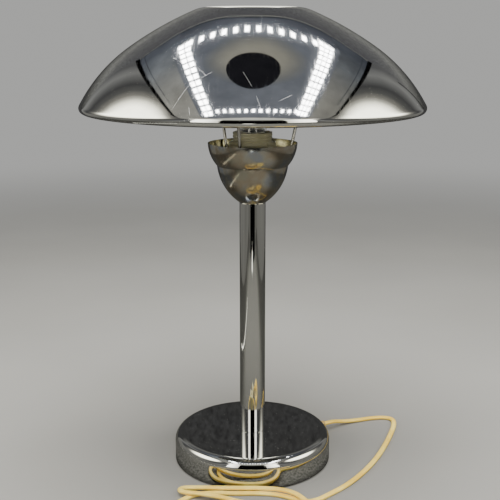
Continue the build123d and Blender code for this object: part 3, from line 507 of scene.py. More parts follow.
def drawn_metal(name, colour, dark, roughness, line=0.5):
    """Drawn or turned metal. The tool's lines round it are drawn line millimetres apart to be seen."""
    made, tree, place = new_material(name)
    flat = add(tree, "ShaderNodeMapping", {"Scale": (0.05, 0.05, 1.0)}, {"Vector": place}).outputs[0]
    lines = patchy(tree, flat, line, detail=3.0)
    tint = clouded(tree, place, size=9, spread=(0.35, 0.65), tones=(dark, colour))[1]
    tool_marked(tree, tint, lines, roughness - 0.06, roughness + 0.12, depth=0.1)
    return made


def moulded(name, colour, aged, roughness, grime=None):
    """Moulded plastic with its tool's slight ripple. It aged unevenly, and dirt settled in its corners."""
    made, tree, place = new_material(name)
    age, tint = clouded(tree, place, size=18, spread=(0.35, 0.65), tones=(aged, colour), detail=4.0)
    if grime:
        tint = grimed(tree, tint, grime, low=0.42, high=0.49, most=0.7)
    peel = patchy(tree, place, size=1.2, detail=2.0)
    ripple = rippled(tree, peel, strength=0.12, distance=0.0002)
    gloss = ranged(tree, age, roughness - 0.05, roughness + 0.08)
    finish(tree, {"IOR": 1.5}, {"Base Color": tint, "Roughness": gloss, "Normal": ripple})
    return made


def cast_iron():
    """Grey cast iron as it leaves the sand, dark with an oily sheen."""
    made, tree, place = new_material("raw_cast_iron")
    sand, tint = clouded(tree, place, size=1.5, spread=(0.3, 0.7), tones=("1C1B1B", "454240"), detail=5.0)
    ripple = rippled(tree, sand, strength=0.5, distance=0.0004)
    finish(tree, {"Metallic": 0.7, "Roughness": 0.6}, {"Base Color": tint, "Normal": ripple})
    return made


def wool_felt():
    """Pressed wool felt, black. Its short fibres catch the light, and are drawn 0.8 mm apart to be seen."""
    made, tree, place = new_material("black_wool_felt")
    tones = ("0B0B0C", "2B2A2C")
    fibre, tint = clouded(tree, place, 0.8, spread=(0.35, 0.7), tones=tones, detail=6.0, Distortion=1.5)
    ripple = rippled(tree, fibre, strength=0.7, distance=0.0005)
    soft = {"Roughness": 0.95, "Sheen Weight": 0.25, "Sheen Roughness": 0.5}
    finish(tree, soft, {"Base Color": tint, "Normal": ripple})
    return made


def flex_sheath():
    """Extruded PVC flex, gold that has paled, with a soft gloss. Grime sits in its groove."""
    made, tree, place = new_material("gold_pvc_flex")
    age, tint = clouded(tree, place, size=25, spread=(0.35, 0.65), tones=("F0CA50", "FFE47C"))
    tint = grimed(tree, tint, "8A6F38", low=0.40, high=0.48, most=0.6)
    specks = patchy(tree, place, size=1.2, detail=3.0)
    ripple = rippled(tree, specks, strength=0.15, distance=0.0002)
    gloss = ranged(tree, age, low=0.28, high=0.42)
    soft = {"IOR": 1.5, "Subsurface Weight": 0.06, "Subsurface Scale": 0.002}
    finish(tree, soft, {"Base Color": tint, "Roughness": gloss, "Normal": ripple})
    return made


def blown_glass():
    """Clear soda-lime glass, blown thin, with faint waves from the mould."""
    made, tree, place = new_material("clear_blown_glass")
    waves = patchy(tree, place, size=14, detail=1.0)
    ripple = rippled(tree, waves, strength=0.05, distance=0.0004)
    clear = {"Base Color": linear("F6F8F6"), "Roughness": 0.02, "IOR": 1.5, "Transmission Weight": 1.0}
    finish(tree, clear, {"Normal": ripple})
    return made


def fired(name, colour, speck_colour, roughness):
    """Fired clay or glass under a thin clear glaze, with specks in it."""
    made, tree, place = new_material(name)
    tint = clouded(tree, place, size=2.5, spread=(0.28, 0.4), tones=(speck_colour, colour), detail=5.0)[1]
    glaze = {"Roughness": roughness, "IOR": 1.52, "Coat Weight": 0.6, "Coat Roughness": 0.06}
    finish(tree, glaze, {"Base Color": tint})
    return made


def studio_paper(horizon):
    """Matt pale paper. Past the lamp it takes the tone of the room behind it, so no edge of it shows."""
    made, tree, place = new_material("pale_studio_paper")
    tint = clouded(tree, place, size=300, spread=(0.3, 0.7), tones=("888886", "8D8D8B"), detail=2.0)[1]
    paper = add(tree, "ShaderNodeBsdfPrincipled", {"Roughness": 0.8}, {"Base Color": tint})
    away = vector(tree, "LENGTH", place, output="Value")
    share = ranged(tree, away, 0.0, 1.0, span=(0.9, 2.4), interpolation_type="SMOOTHSTEP")
    glow = add(tree, "ShaderNodeEmission", {"Color": linear(horizon)})
    both = {0: share, 1: paper.outputs[0], 2: glow.outputs[0]}
    mixed = add(tree, "ShaderNodeMixShader", links=both)
    add(tree, "ShaderNodeOutputMaterial", links={"Surface": mixed.outputs[0]})
    made.cycles.emission_sampling = "NONE"
    return made


def grey_cloth():
    """Grey woven cloth that only the polish sees, in the paper's place, with painted shade: darker towards
    the sides, and a painted contact shadow by the base.

    Its slubs are drawn 4 mm apart, coarser than they are, so that they show in the reflection.
    """
    made, tree, place = new_material("grey_woven_cloth_with_painted_shade")
    tint = clouded(tree, place, size=4, spread=(0.36, 0.64), tones=("464643", "767672"))[1]
    # Painted shade: the cloth darkens towards the sides and, as a painted contact shadow, right by the base
    away = vector(tree, "DISTANCE", place, (0.0, -0.5, 0.0), "Value")
    side = ranged(tree, away, 1.0, 0.26, span=(0.40, 0.66), interpolation_type="SMOOTHSTEP")
    near = vector(tree, "LENGTH", place, output="Value")
    painted_contact_shadow = ranged(tree, near, 0.15, 1.0, span=(0.083, 0.093))
    shade = merged(tree, side, painted_contact_shadow, "MULTIPLY")
    tint = add(tree, "ShaderNodeVectorMath", links={0: tint, "Scale": shade}, operation="SCALE")
    finish(tree, {"Roughness": 0.9}, {"Base Color": tint.outputs[0]})
    return made


def even(tone):
    """Stops of a card that has one tone all over."""
    return ((0, tone), (1, tone))


def card_glow(name, stops, span=(0, 1), axis="Z", oval=None, strength=1.0, cloud=0.0, grain=240):
    """Light of a card, in patches of a grain in millimetres. Its tone follows an axis over a span in metres.

    With an oval, it follows the distance from a centre, squashed along the axes after a turn about X.
    """
    made, tree, place = new_material(name)
    if oval:
        centre, squash, turn = oval
        off = vector(tree, "SUBTRACT", place, centre)
        angle = {"Angle": math.radians(turn)}
        off = add(tree, "ShaderNodeVectorRotate", angle, {"Vector": off}, rotation_type="X_AXIS").outputs[0]
        along = vector(tree, "LENGTH", vector(tree, "MULTIPLY", off, squash), output="Value")
    else:
        along = add(tree, "ShaderNodeSeparateXYZ", links={0: place}).outputs[axis]
    share = ranged(tree, along, 0.0, 1.0, span)
    tone = add(tree, "ShaderNodeValToRGB", links={0: share}, stops=stops).outputs[0]
    patches = patchy(tree, place, grain, detail=8.0, Roughness=0.66)
    level = ranged(tree, patches, strength * (1 - cloud), strength * (1 + cloud), span=(0.3, 0.7))
    shine = add(tree, "ShaderNodeEmission", links={"Color": tone, "Strength": level})
    add(tree, "ShaderNodeOutputMaterial", links={"Surface": shine.outputs[0]})
    made.cycles.emission_sampling = "NONE"
    return made


def smooth(mesh):
    """Shade a mesh smooth except across its sharp edges."""
    for face in mesh.polygons:
        face.use_smooth = True
    mesh.set_sharp_from_angle(angle=math.radians(SHARP_ANGLE))
    return mesh


def skinned(vertices, faces):
    """A smooth mesh with its faces turned outwards."""
    mesh = bpy.data.meshes.new("formed")
    mesh.from_pydata(vertices, [], faces)
    shape = bmesh.new()
    shape.from_mesh(mesh)
    bmesh.ops.recalc_face_normals(shape, faces=shape.faces)
    shape.to_mesh(mesh)
    shape.free()
    return smooth(mesh)


def joined(meshes):
    """Several meshes as one."""
    shape = bmesh.new()
    for mesh in meshes:
        shape.from_mesh(mesh)
    made = bpy.data.meshes.new("joined")
    shape.to_mesh(made)
    shape.free()
    return smooth(made)


def linked(name, data):
    """A new object in the scene."""
    obj = bpy.data.objects.new(name, data)
    bpy.context.scene.collection.objects.link(obj)
    return obj


def taken(obj, *helpers):
    """Mesh of an object as its modifiers or bevel make it. The object and its helpers are removed."""
    bpy.context.view_layer.update()
    made = bpy.data.meshes.new_from_object(obj.evaluated_get(bpy.context.evaluated_depsgraph_get()))
    for used in (obj, *helpers):
        bpy.data.objects.remove(used)
    return smooth(made)


def cut(mesh, tools):
    """A mesh with the space of others taken out."""
    body = linked("blank", mesh)
    helpers = [linked("cutter", tool) for tool in tools]
    for helper in helpers:
        step = body.modifiers.new("cut", "BOOLEAN")
        step.operation = "DIFFERENCE"
        step.solver = "EXACT"
        step.object = helper
    return taken(body, *helpers)


def piece(name, made, material, body, replaced):
    """Link a mesh or curve as a piece of the lamp that rides on a body and stands for CAD nodes."""
    obj = linked(name, made)
    made.materials.clear()
    made.materials.append(material)
    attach(obj, body)
    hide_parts(*replaced)
    return obj


def line_inside(mesh, finish_inside, rows):
    """Give a spun piece another finish past its outer rows of faces."""
    mesh.materials.append(finish_inside)
    for face in mesh.polygons:
        face.material_index = int(face.index >= rows * SHADE_TURNS)


def arc(centre, radius, start, end, step=3.0):
    """Points on an arc, from one angle to another in degrees."""
    count = max(2, round(abs(end - start) / step))
    angles = [math.radians(start + (end - start) * i / count) for i in range(count + 1)]
    return [(centre[0] + radius * math.cos(a), centre[1] + radius * math.sin(a)) for a in angles]


def turn_angles(count):
    """Angles round a full turn."""
    return [2 * math.pi * i / count for i in range(count)]


def bowed(start, end, radius, count=14):
    """Points on an arc between two points that bows out to the right of the way it goes."""
    chord = math.dist(start, end)
    depth = math.sqrt(radius**2 - (chord / 2) ** 2)
    along = ((end[0] - start[0]) / chord, (end[1] - start[1]) / chord)
    centre = ((start[0] + end[0]) / 2 - along[1] * depth, (start[1] + end[1]) / 2 + along[0] * depth)
    low = math.degrees(math.atan2(start[1] - centre[1], start[0] - centre[0]))
    high = math.degrees(math.atan2(end[1] - centre[1], end[0] - centre[0]))
    return arc(centre, radius, low, high, abs(high - low) / count)


def eased(points, edge=EDGE):
    """An outline with each of its corners broken by a small flat."""
    made = []
    for before, corner, after in zip((points[-1], *points), points, (*points[1:], points[0])):
        for other in (before, after):
            share = min(edge / math.dist(corner, other), LONGEST_FLAT)
            made.append(tuple(c + (o - c) * share for c, o in zip(corner, other)))
    return made


def lathe(outline, turns=192, closed=True, wave=None, place=Matrix()):
    """Turn an outline of radius and height about an axis. A wave adds to the radius by height and angle."""
    tiny = 1e-7
    points = [outline[0]]
    for point in outline[1:]:
        if math.dist(point, points[-1]) > tiny:
            points.append(point)
    vertices, rows, faces = [], [], []
    for radius, height in points:
        if radius < tiny:
            rows.append([len(vertices)] * turns)
            vertices.append(place @ Vector((0.0, 0.0, height)))
            continue
        rows.append(list(range(len(vertices), len(vertices) + turns)))
        for i in range(turns):
            angle = 2 * math.pi * i / turns
            reach = radius + (wave(radius, height, angle) if wave else 0)
            vertices.append(place @ Vector((reach * math.cos(angle), reach * math.sin(angle), height)))
    pairs = list(zip(rows, rows[1:]))
    if closed:
        pairs.append((rows[-1], rows[0]))
    for low, high in pairs:
        for i in range(turns):
            j = (i + 1) % turns
            corners = [low[i], low[j], high[j], high[i]]
            kept = [c for k, c in enumerate(corners) if c not in corners[:k]]
            if len(kept) > 2:
                faces.append(kept)
    return skinned(vertices, faces)


def loft(rings, place=Matrix()):
    """Skin over rings of equally many points, closed at both ends."""
    count = len(rings[0])
    vertices = [place @ Vector(point) for ring in rings for point in ring]
    faces = [tuple(range(count)), tuple(range(len(vertices) - count, len(vertices)))]
    for low in range(0, len(vertices) - count, count):
        for i in range(count):
            j = (i + 1) % count
            faces.append((low + i, low + j, low + count + j, low + count + i))
    return skinned(vertices, faces)


def rod(radius, low, high):
    """Outline of a solid rod between two heights."""
    return [(0, low), (radius, low), (radius, high), (0, high)]


def rounded_loop(length, width, corner, level):
    """Points of a rounded rectangle about the origin, at a level."""
    points = []
    for quarter, (across, along) in enumerate(((1, 1), (-1, 1), (-1, -1), (1, -1))):
        middle = (across * (length / 2 - corner), along * (width / 2 - corner))
        points += arc(middle, corner, 90 * quarter, 90 * quarter + 90, step=15)
    return [(x, y, level) for x, y in points]


def thread(pitch, depth, low, high, inside):
    """Wave of a rounded right-hand thread between two heights, on what lies outside a radius."""

    def wave(radius, height, angle):
        if radius < inside:
            return 0.0
        fade = max(0.0, min(1.0, (height - low) / pitch, (high - height) / pitch))
        phase = (height - low) / pitch - angle / (2 * math.pi)
        return -depth * fade * (0.5 - 0.5 * math.cos(2 * math.pi * phase))

    return wave


def climbing(radius, low, high, pitch, steps=10):
    """Points straight up a thread, close enough to draw it."""
    count = math.ceil((high - low) / pitch * steps)
    return [(radius, low + (high - low) * i / count) for i in range(count + 1)]


def spline_through(curve, kind, points):
    """A spline of a curve with its points set."""
    spline = curve.splines.new(kind)
    spline.points.add(len(points) - 1)
    for point, spot in zip(spline.points, points):
        point.co = (*spot, 1)
    return spline


def wire(points, radius, closed=False):
    """A round wire along points."""
    curve = bpy.data.curves.new("wire", "CURVE")
    curve.dimensions = "3D"
    curve.bevel_depth = radius
    curve.bevel_resolution = WIRE_STEPS
    curve.use_fill_caps = True
    spline_through(curve, "POLY", points).use_cyclic_u = closed
    return taken(linked("wire", curve))


def spin_shade():
    """Shade: arcs from the rolled rim to the flat crown, polished outside and left as spun inside."""
    low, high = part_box("shade")
    roll = (high.x - RIM_ROLL_RADIUS, low.z + RIM_ROLL_RADIUS)
    arcs = [(roll, RIM_ROLL_RADIUS, 90 - RIM_SLOPE - RIM_ROLL_TURN, 90 - RIM_SLOPE)]
    centre, radius = roll, RIM_ROLL_RADIUS
    for curve, steep, shallow in (
        (LOWER_CURVE, RIM_SLOPE, WAIST_SLOPE),
        (UPPER_CURVE, WAIST_SLOPE, CROWN_SLOPE),
        (CROWN_SHOULDER_RADIUS, CROWN_SLOPE, 0),
    ):
        away = math.radians(90 - steep)
        shift = radius - curve
        centre = (centre[0] + shift * math.cos(away), centre[1] + shift * math.sin(away))
        radius = curve
        arcs.append((centre, curve, 90 - steep, 90 - shallow))
    outer, inner = [], []
    for (middle, radius, start, end), step in zip(arcs, SHADE_STEPS):
        outer += arc(middle, radius, start, end, step)[bool(outer) :]
        inner += arc(middle, radius - SHADE_WALL, start, end, step)[bool(inner) :]
    crown = [(0, outer[-1][1]), (0, inner[-1][1])]
    mesh = lathe([*outer, *crown, *reversed(inner)], SHADE_TURNS)
    piece("shade_shell", mesh, SHADE_CHROME, "shade", ("shade",))
    line_inside(mesh, SHADE_INSIDE, len(outer))


def spin_cup():
    """Cup: a lower bowl and a wider one standing in it, with a crease between them."""
    low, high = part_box("cup")
    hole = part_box("threaded_rod")[1].x
    step = (CUP_STEP_RADIUS, low.z + CUP_STEP_HEIGHT)
    foot = (CUP_FOOT_RADIUS, low.z)
    mouth = (high.x, high.z)
    inner_step = (step[0] - CUP_WALL, step[1])
    inner_foot = (foot[0] - CUP_WALL / 2, low.z + CUP_WALL)
    inner_mouth = (mouth[0] - CUP_WALL, mouth[1])
    upper_start = (step[0] + CUP_CREASE, step[1] + CUP_CREASE)
    outer = [
        (hole, low.z),
        *bowed(foot, step, CUP_LOWER_CURVE, CUP_LOWER_STEPS),
        *bowed(upper_start, mouth, CUP_UPPER_CURVE, CUP_UPPER_STEPS),
    ]
    inner = [
        *reversed(bowed(inner_step, inner_mouth, CUP_UPPER_CURVE - CUP_WALL, CUP_UPPER_STEPS)),
        *reversed(bowed(inner_foot, inner_step, CUP_LOWER_CURVE - CUP_WALL, CUP_LOWER_STEPS)),
        (hole, low.z + CUP_WALL),
    ]
    mesh = lathe([*outer, *inner], SHADE_TURNS)
    piece("cup_bowl", mesh, CUP_CHROME, "lamp", ("cup",))
    line_inside(mesh, CUP_INSIDE, len(outer))


def at_outlet():
    """Place of things that are turned about the flex where it leaves the base."""
    turn = Matrix.Rotation(math.radians(OUTLET_ANGLE), 4, "Z") @ Matrix.Rotation(math.pi / 2, 4, "Y")
    return Matrix.Translation((0, 0, OUTLET_HEIGHT)) @ turn


def spin_base():
    """Base cover with a rounded top edge, a just broken edge at its foot and the hole for the relief."""
    low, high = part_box("base_cover")
    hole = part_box("threaded_rod")[1].x
    flat = high.x - BASE_EDGE_RADIUS
    shoulder = high.z - BASE_EDGE_RADIUS
    outline = [
        (high.x - BASE_WALL, low.z),
        (high.x - EDGE, low.z),
        (high.x, low.z + EDGE),
        *arc((flat, shoulder), BASE_EDGE_RADIUS, 0, 90),
        (hole, high.z),
        (hole, high.z - BASE_WALL),
        *reversed(arc((flat, shoulder), BASE_EDGE_RADIUS - BASE_WALL, 0, 90)),
    ]
    bore = rod(RELIEF_HOLE, flat, high.x + DRILL_OVERRUN)
    drill = lathe(bore, DRILL_TURNS, closed=False, place=at_outlet())
    cover = cut(lathe(outline, SHADE_TURNS), [drill])
    piece("base_shell", cover, CHROME, "lamp", ("base_cover",))


def draw_stem():
    """Stem tube with its ends just broken."""
    low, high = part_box("stem_tube")
    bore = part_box("stem_bush_top")[1].x
    outline = eased([(bore, low.z), (high.x, low.z), (high.x, high.z), (bore, high.z)], STEM_EDGE)
    piece("stem", lathe(outline), CHROME, "lamp", ("stem_tube",))


def mould_holder_cap():
    """Cap of the lampholder, which flares from a neck and is ribbed round its grip."""
    low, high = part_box("holder_cap")
    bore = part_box("threaded_rod")[1].x
    wall = high.x - HOLDER_WALL
    neck = (HOLDER_NECK_RADIUS, low.z + HOLDER_NECK_STRAIGHT)
    shoulder = low.z + HOLDER_NECK_LENGTH
    flare = (shoulder + high.z) / 2

    def ribs(radius, height, angle):
        if radius < wall + EDGE or height < flare or height > high.z - 2 * EDGE:
            return 0.0
        return -EDGE * (0.5 - 0.5 * math.cos(CAP_RIBS * angle))

    outline = [
        (bore, low.z),
        (neck[0], low.z),
        *bowed(neck, (high.x, flare), high.x),
        (high.x, flare + EDGE),
        (high.x, high.z - 2 * EDGE),
        (high.x, high.z),
        (wall, high.z),
        (wall, flare),
        *reversed(bowed((bore, shoulder), (wall, flare), high.x)),
    ]
    cap = lathe(outline, RIBBED_TURNS, wave=ribs)
    piece("holder_cap_shell", cap, SHADED_HOLDER_IVORY, "lamp", ("holder_cap",))


def mould_mantle():
    """Mantle of the lampholder with its threaded skirt."""
    low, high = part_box("holder_mantle")
    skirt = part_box("carrier_plate")[0].z
    outline = [
        (SKIRT_BORE, low.z),
        (high.x - EDGE, low.z),
        (high.x, low.z + EDGE),
        (high.x, skirt - EDGE),
        (high.x - EDGE, skirt),
        *climbing(SKIRT_RADIUS, skirt, high.z - EDGE, SKIRT_PITCH),
        (SKIRT_RADIUS - 3 * EDGE, high.z),
        (SKIRT_BORE + EDGE, high.z),
        (SKIRT_BORE, high.z - EDGE),
    ]
    wave = thread(SKIRT_PITCH, SKIRT_THREAD, skirt, high.z + SKIRT_PITCH / 2, SKIRT_RADIUS - EDGE)
    piece("holder_skirt", lathe(outline, wave=wave), SHADED_HOLDER_IVORY, "lamp", ("holder_mantle",))


def mould_clamp_ring():
    """Ring that screws on the skirt and clamps the carrier, with a groove round it and flutes for grip."""
    low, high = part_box("shade_ring")
    edge = high.x - RING_FLUTE

    def flutes(radius, height, angle):
        if radius < edge:
            return 0.0
        sector = 2 * math.pi / RING_GRIPS
        off = (angle - math.radians(RING_GRIP_ANGLE) + sector / 2) % sector - sector / 2
        return -math.sqrt(max(RING_GRIP_RADIUS**2 - (off * high.x) ** 2, 0.0))

    third = (high.z - low.z) / 3
    bore = SKIRT_RADIUS + RING_FIT
    outline = [
        *eased([(bore, low.z), (high.x, low.z)])[1:],
        (high.x, high.z - third - RING_FLUTE),
        (high.x - RING_FLUTE / 2, high.z - third),
        (high.x, high.z - third + RING_FLUTE),
        *eased([(high.x, low.z), (high.x, high.z), (bore, high.z)], 2 * EDGE)[2:5],
        (bore, high.z - EDGE),
    ]
    ring = lathe(outline, FLUTED_TURNS, wave=flutes)
    piece("shade_clamp_ring", ring, SHADED_HOLDER_IVORY, "lamp", ("shade_ring",))


def glass_outline(neck, inset):
    """Outline of the bulb's glass from a neck level to its crown, drawn inwards by inset."""
    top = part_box("bulb_glass")[1].z
    centre = top - BULB_RADIUS
    angle = math.radians(BULB_TANGENT)
    radius = BULB_RADIUS - inset
    straight = neck + BULB_NECK_RISE
    start = (BULB_NECK_RADIUS - inset, straight)
    end = (radius * math.cos(angle), centre + radius * math.sin(angle))
    pulls = [
        start,
        (start[0], straight + BULB_FLARE),
        (end[0] + BULB_FLARE * math.sin(angle), end[1] - BULB_FLARE * math.cos(angle)),
        end,
    ]
    points = [(start[0], neck)]
    for i in range(GLASS_STEPS + 1):
        t = i / GLASS_STEPS
        shares = ((1 - t) ** 3, 3 * t * (1 - t) ** 2, 3 * t * t * (1 - t), t**3)
        points.append(tuple(sum(s * p[k] for s, p in zip(shares, pulls)) for k in (0, 1)))
    return points + arc((0, centre), radius, BULB_TANGENT, 90, step=4)[1:]


def press_bulb_cap():
    """Screw cap of the bulb, pressed from thin sheet."""
    low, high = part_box("bulb_cap")
    lip = high.x - BULB_THREAD
    wall = BULB_CAP_WALL
    outer = [
        (lip - BULB_THREAD, low.z),
        (lip, low.z + wall),
        *climbing(high.x, low.z + BULB_THREAD, high.z - BULB_BAND, BULB_PITCH),
        (high.x - wall, high.z - BULB_BAND + wall),
        (high.x - wall, high.z - wall),
        (high.x, high.z),
    ]
    inner = [(radius - wall, max(height, low.z + wall)) for radius, height in reversed(outer)]
    outline = [(0, low.z), *outer, *inner, (0, low.z + wall)]
    inside = high.x - 2 * wall
    wave = thread(BULB_PITCH, BULB_THREAD, low.z + BULB_THREAD, high.z - BULB_BAND, inside)
    cap = lathe(outline, BULB_TURNS, closed=False, wave=wave)
    piece("bulb_screw_cap", cap, CAP_METAL, "bulb", ("bulb_cap",))


def blow_bulb():
    """Glass of the bulb, and the flared stem that is fused into its neck."""
    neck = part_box("bulb_glass")[0].z
    outline = [*glass_outline(neck, 0), *reversed(glass_outline(neck, BULB_GLASS_WALL))]
    piece("bulb_envelope", lathe(outline, BULB_TURNS), GLASS, "bulb", ("bulb_glass",))

    low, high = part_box("bulb_stem")
    core = high.x
    flare = BULB_NECK_RADIUS - 2 * BULB_GLASS_WALL
    outline = [
        (0, low.z),
        (core, low.z),
        (core, high.z - 4 * core),
        (MOUNT_FLARE * core, high.z - 2 * core),
        (flare - core / 2, high.z - core / 2),
        (flare, high.z),
        (flare - core / 2, high.z - core / 3),
        (MOUNT_FLARE * core, high.z - core),
        (core, high.z - core / 2),
        (core / 2, high.z),
        (0, high.z),
    ]
    mount = lathe(outline, SLEEVE_TURNS, closed=False)
    piece("bulb_mount", mount, GLASS, "bulb", ("bulb_stem",))


def wind_filament():
    """Coiled filament that sags between its two leads."""
    low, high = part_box("bulb_filament")
    turn_radius = (high.y - low.y) / 2 - FILAMENT_WIRE
    level = high.z - turn_radius - FILAMENT_WIRE
    span = high.x - low.x - 4 * turn_radius
    coil = []
    for i in range(FILAMENT_TURNS * FILAMENT_STEPS + 1):
        share = i / (FILAMENT_TURNS * FILAMENT_STEPS)
        angle = 2 * math.pi * i / FILAMENT_STEPS
        sag = FILAMENT_SAG * math.sin(math.pi * share) ** 2
        x = (share - 0.5) * span
        coil.append((x, turn_radius * math.cos(angle), level - sag + turn_radius * math.sin(angle)))
    meshes = [wire(coil, FILAMENT_WIRE)]
    for side in (-1, 1):
        end = side * span / 2
        foot = (side * turn_radius * 2, 0, low.z)
        bend = (side * (span / 2 + turn_radius), 0, level - LEAD_HANG * turn_radius)
        hook = (side * (span / 2 + turn_radius), 0, level)
        meshes.append(wire([foot, bend, hook, (end, turn_radius / 2, level)], LEAD_WIRE))
    piece("bulb_coil", joined(meshes), TUNGSTEN, "bulb", ("bulb_filament",))


def bend_carrier():
    """Wire carrier: a stamped collar, three splayed wires with welded ends, and the ring they hold up."""
    low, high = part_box("carrier_plate")
    bore = SKIRT_RADIUS + PLATE_FIT
    outline = eased([(bore, low.z), (high.x, low.z), (high.x, high.z), (bore, high.z)], 2 * EDGE)
    piece("carrier_collar", lathe(outline), WIRE_CHROME, "lamp", ("carrier_plate",))
    foot = (low.z + high.z) / 2
    ring_low, ring_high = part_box("carrier_ring")
    top = (ring_high.x - WIRE_RADIUS, (ring_low.z + ring_high.z) / 2)
    hoop = [(top[0] * math.cos(a), top[0] * math.sin(a), top[1]) for a in turn_angles(HOOP_TURNS)]
    meshes = [wire(hoop, WIRE_RADIUS, closed=True)]
    slope = math.atan2(top[1] - foot, top[0] - WIRE_FOOT)
    short = WIRE_BEND * math.tan(slope / 2)
    corner = arc((WIRE_FOOT - short, foot + WIRE_BEND), WIRE_BEND, -90, math.degrees(slope) - 90, step=6)
    end = (top[0] - WIRE_RADIUS * math.cos(slope), top[1] - WIRE_RADIUS * math.sin(slope))
    run = [(high.x - 2 * EDGE, foot), *corner, end]
    for index, angle in enumerate(WIRE_ANGLES):
        across, along = math.cos(math.radians(angle)), math.sin(math.radians(angle))
        leg = wire([(radius * across, radius * along, height) for radius, height in run], WIRE_RADIUS)
        name = f"carrier_wire_{index + 1}"
        piece(f"{name}_bent", leg, WIRE_CHROME, "lamp", (name,))
        bead = arc((0, 0), WELD_BEAD, -90, 90, step=15)
        for radius, height in (end, (high.x, foot)):
            spot = Matrix.Translation((radius * across, radius * along, height))
            meshes.append(lathe(bead, BEAD_TURNS, closed=False, place=spot))
    piece("carrier_hoop", joined(meshes), WIRE_CHROME, "lamp", ("carrier_ring",))


def ribbed(low, high, root, tip, count):
    """Outline of the ribs of a relief that tapers from root to tip."""
    pitch = (high - low) / count
    points = []
    for rib in range(count):
        start = low + rib * pitch
        crest = root + (tip - root) * rib / count
        valley = crest - RELIEF_GROOVE * (1 - rib / count / 2)
        radii = (valley, crest - EDGE, crest, crest, crest - EDGE)
        points.append((valley, start))
        points += [(radius, start + share * pitch) for radius, share in zip(radii, RIB_SHARES)]
    return points


def mould_relief():
    """Soft relief with a collar on each side of the cover, tapering in ribs towards its tip."""
    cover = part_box("base_cover")[1].x
    bore = FLEX_WIDTH / 2
    inside = cover - BASE_WALL - RELIEF_COLLAR_THICKNESS - RELIEF_COLLAR**2 / (2 * cover)
    outside = cover + RELIEF_COLLAR_THICKNESS
    inner_face = inside + RELIEF_COLLAR_THICKNESS
    outline = [
        (bore, inside),
        *eased([(bore, inside), (RELIEF_COLLAR, inside), (RELIEF_COLLAR, inner_face)])[2:5],
        (RELIEF_NECK, inner_face),
        (RELIEF_NECK, cover + EDGE / 3),
        (RELIEF_COLLAR, cover + EDGE / 3),
        (RELIEF_COLLAR, outside - 2 * EDGE),
        (RELIEF_COLLAR - 2 * EDGE, outside),
    ]
    outline += ribbed(outside, RELIEF_TIP, RELIEF_ROOT, RELIEF_END, RELIEF_RIBS)
    outline += [(RELIEF_END - EDGE, RELIEF_TIP), (bore, RELIEF_TIP)]
    sleeve = lathe(outline, SLEEVE_TURNS, place=at_outlet())
    piece("flex_relief", sleeve, RELIEF, "lamp", ("cord_relief",))


def press_felt():
    """Felt disc with a slightly ragged cut edge."""
    low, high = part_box("felt_pad")

    def ragged(radius, height, angle):
        if radius < high.x - 2 * EDGE:
            return 0.0
        waves = (size * math.sin(count * angle + shift) for size, count, shift in FELT_WAVES)
        return -EDGE * (0.5 + sum(waves))

    outline = [(0, low.z), *eased(rod(high.x, low.z, high.z))[2:6], (0, high.z)]
    disc = lathe(outline, RIBBED_TURNS, closed=False, wave=ragged)
    piece("felt_disc", disc, FELT, "lamp", ("felt_pad",))


def drive_switch_screws():
    """Slotted screws under the switch, with their threads up in it."""
    low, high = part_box("switch_screws")
    x, y = SWITCH_PLACE
    rise = (SWITCH_SCREW_NECK - low.z) / 4
    radius = SWITCH_SCREW_HEAD
    top = high.z - 2 * EDGE
    outline = [
        (0, low.z),
        (SWITCH_SCREW_CROWN * radius, low.z),
        (radius, low.z + rise),
        (radius, SWITCH_SCREW_NECK),
        *climbing(SWITCH_SCREW_SHANK, SWITCH_SCREW_NECK, top, SWITCH_SCREW_PITCH, steps=8),
        (SWITCH_SCREW_SHANK / 2, high.z),
        (0, high.z),
    ]
    worm = thread(SWITCH_SCREW_PITCH, EDGE, SWITCH_SCREW_NECK, top, SWITCH_SCREW_SHANK - EDGE)

    def wave(radius, height, angle):
        return worm(radius, height, angle) if SWITCH_SCREW_NECK < height < high.z - EDGE else 0.0

    screws = []
    for side in (-1, 1):
        spot = Matrix.Translation((x + side * SWITCH_SCREW_SPREAD, y, 0))
        levels = (low.z - rise, low.z + 2 * rise)
        slot = [rounded_loop(SWITCH_SLOT * radius, 2 * rise, rise / 2, level) for level in levels]
        screw = lathe(outline, PIN_TURNS, closed=False, wave=wave, place=spot)
        screws.append(cut(screw, [loft(slot, spot)]))
    return piece("switch_fixings", joined(screws), STEEL, "lamp", ("switch_screws",))


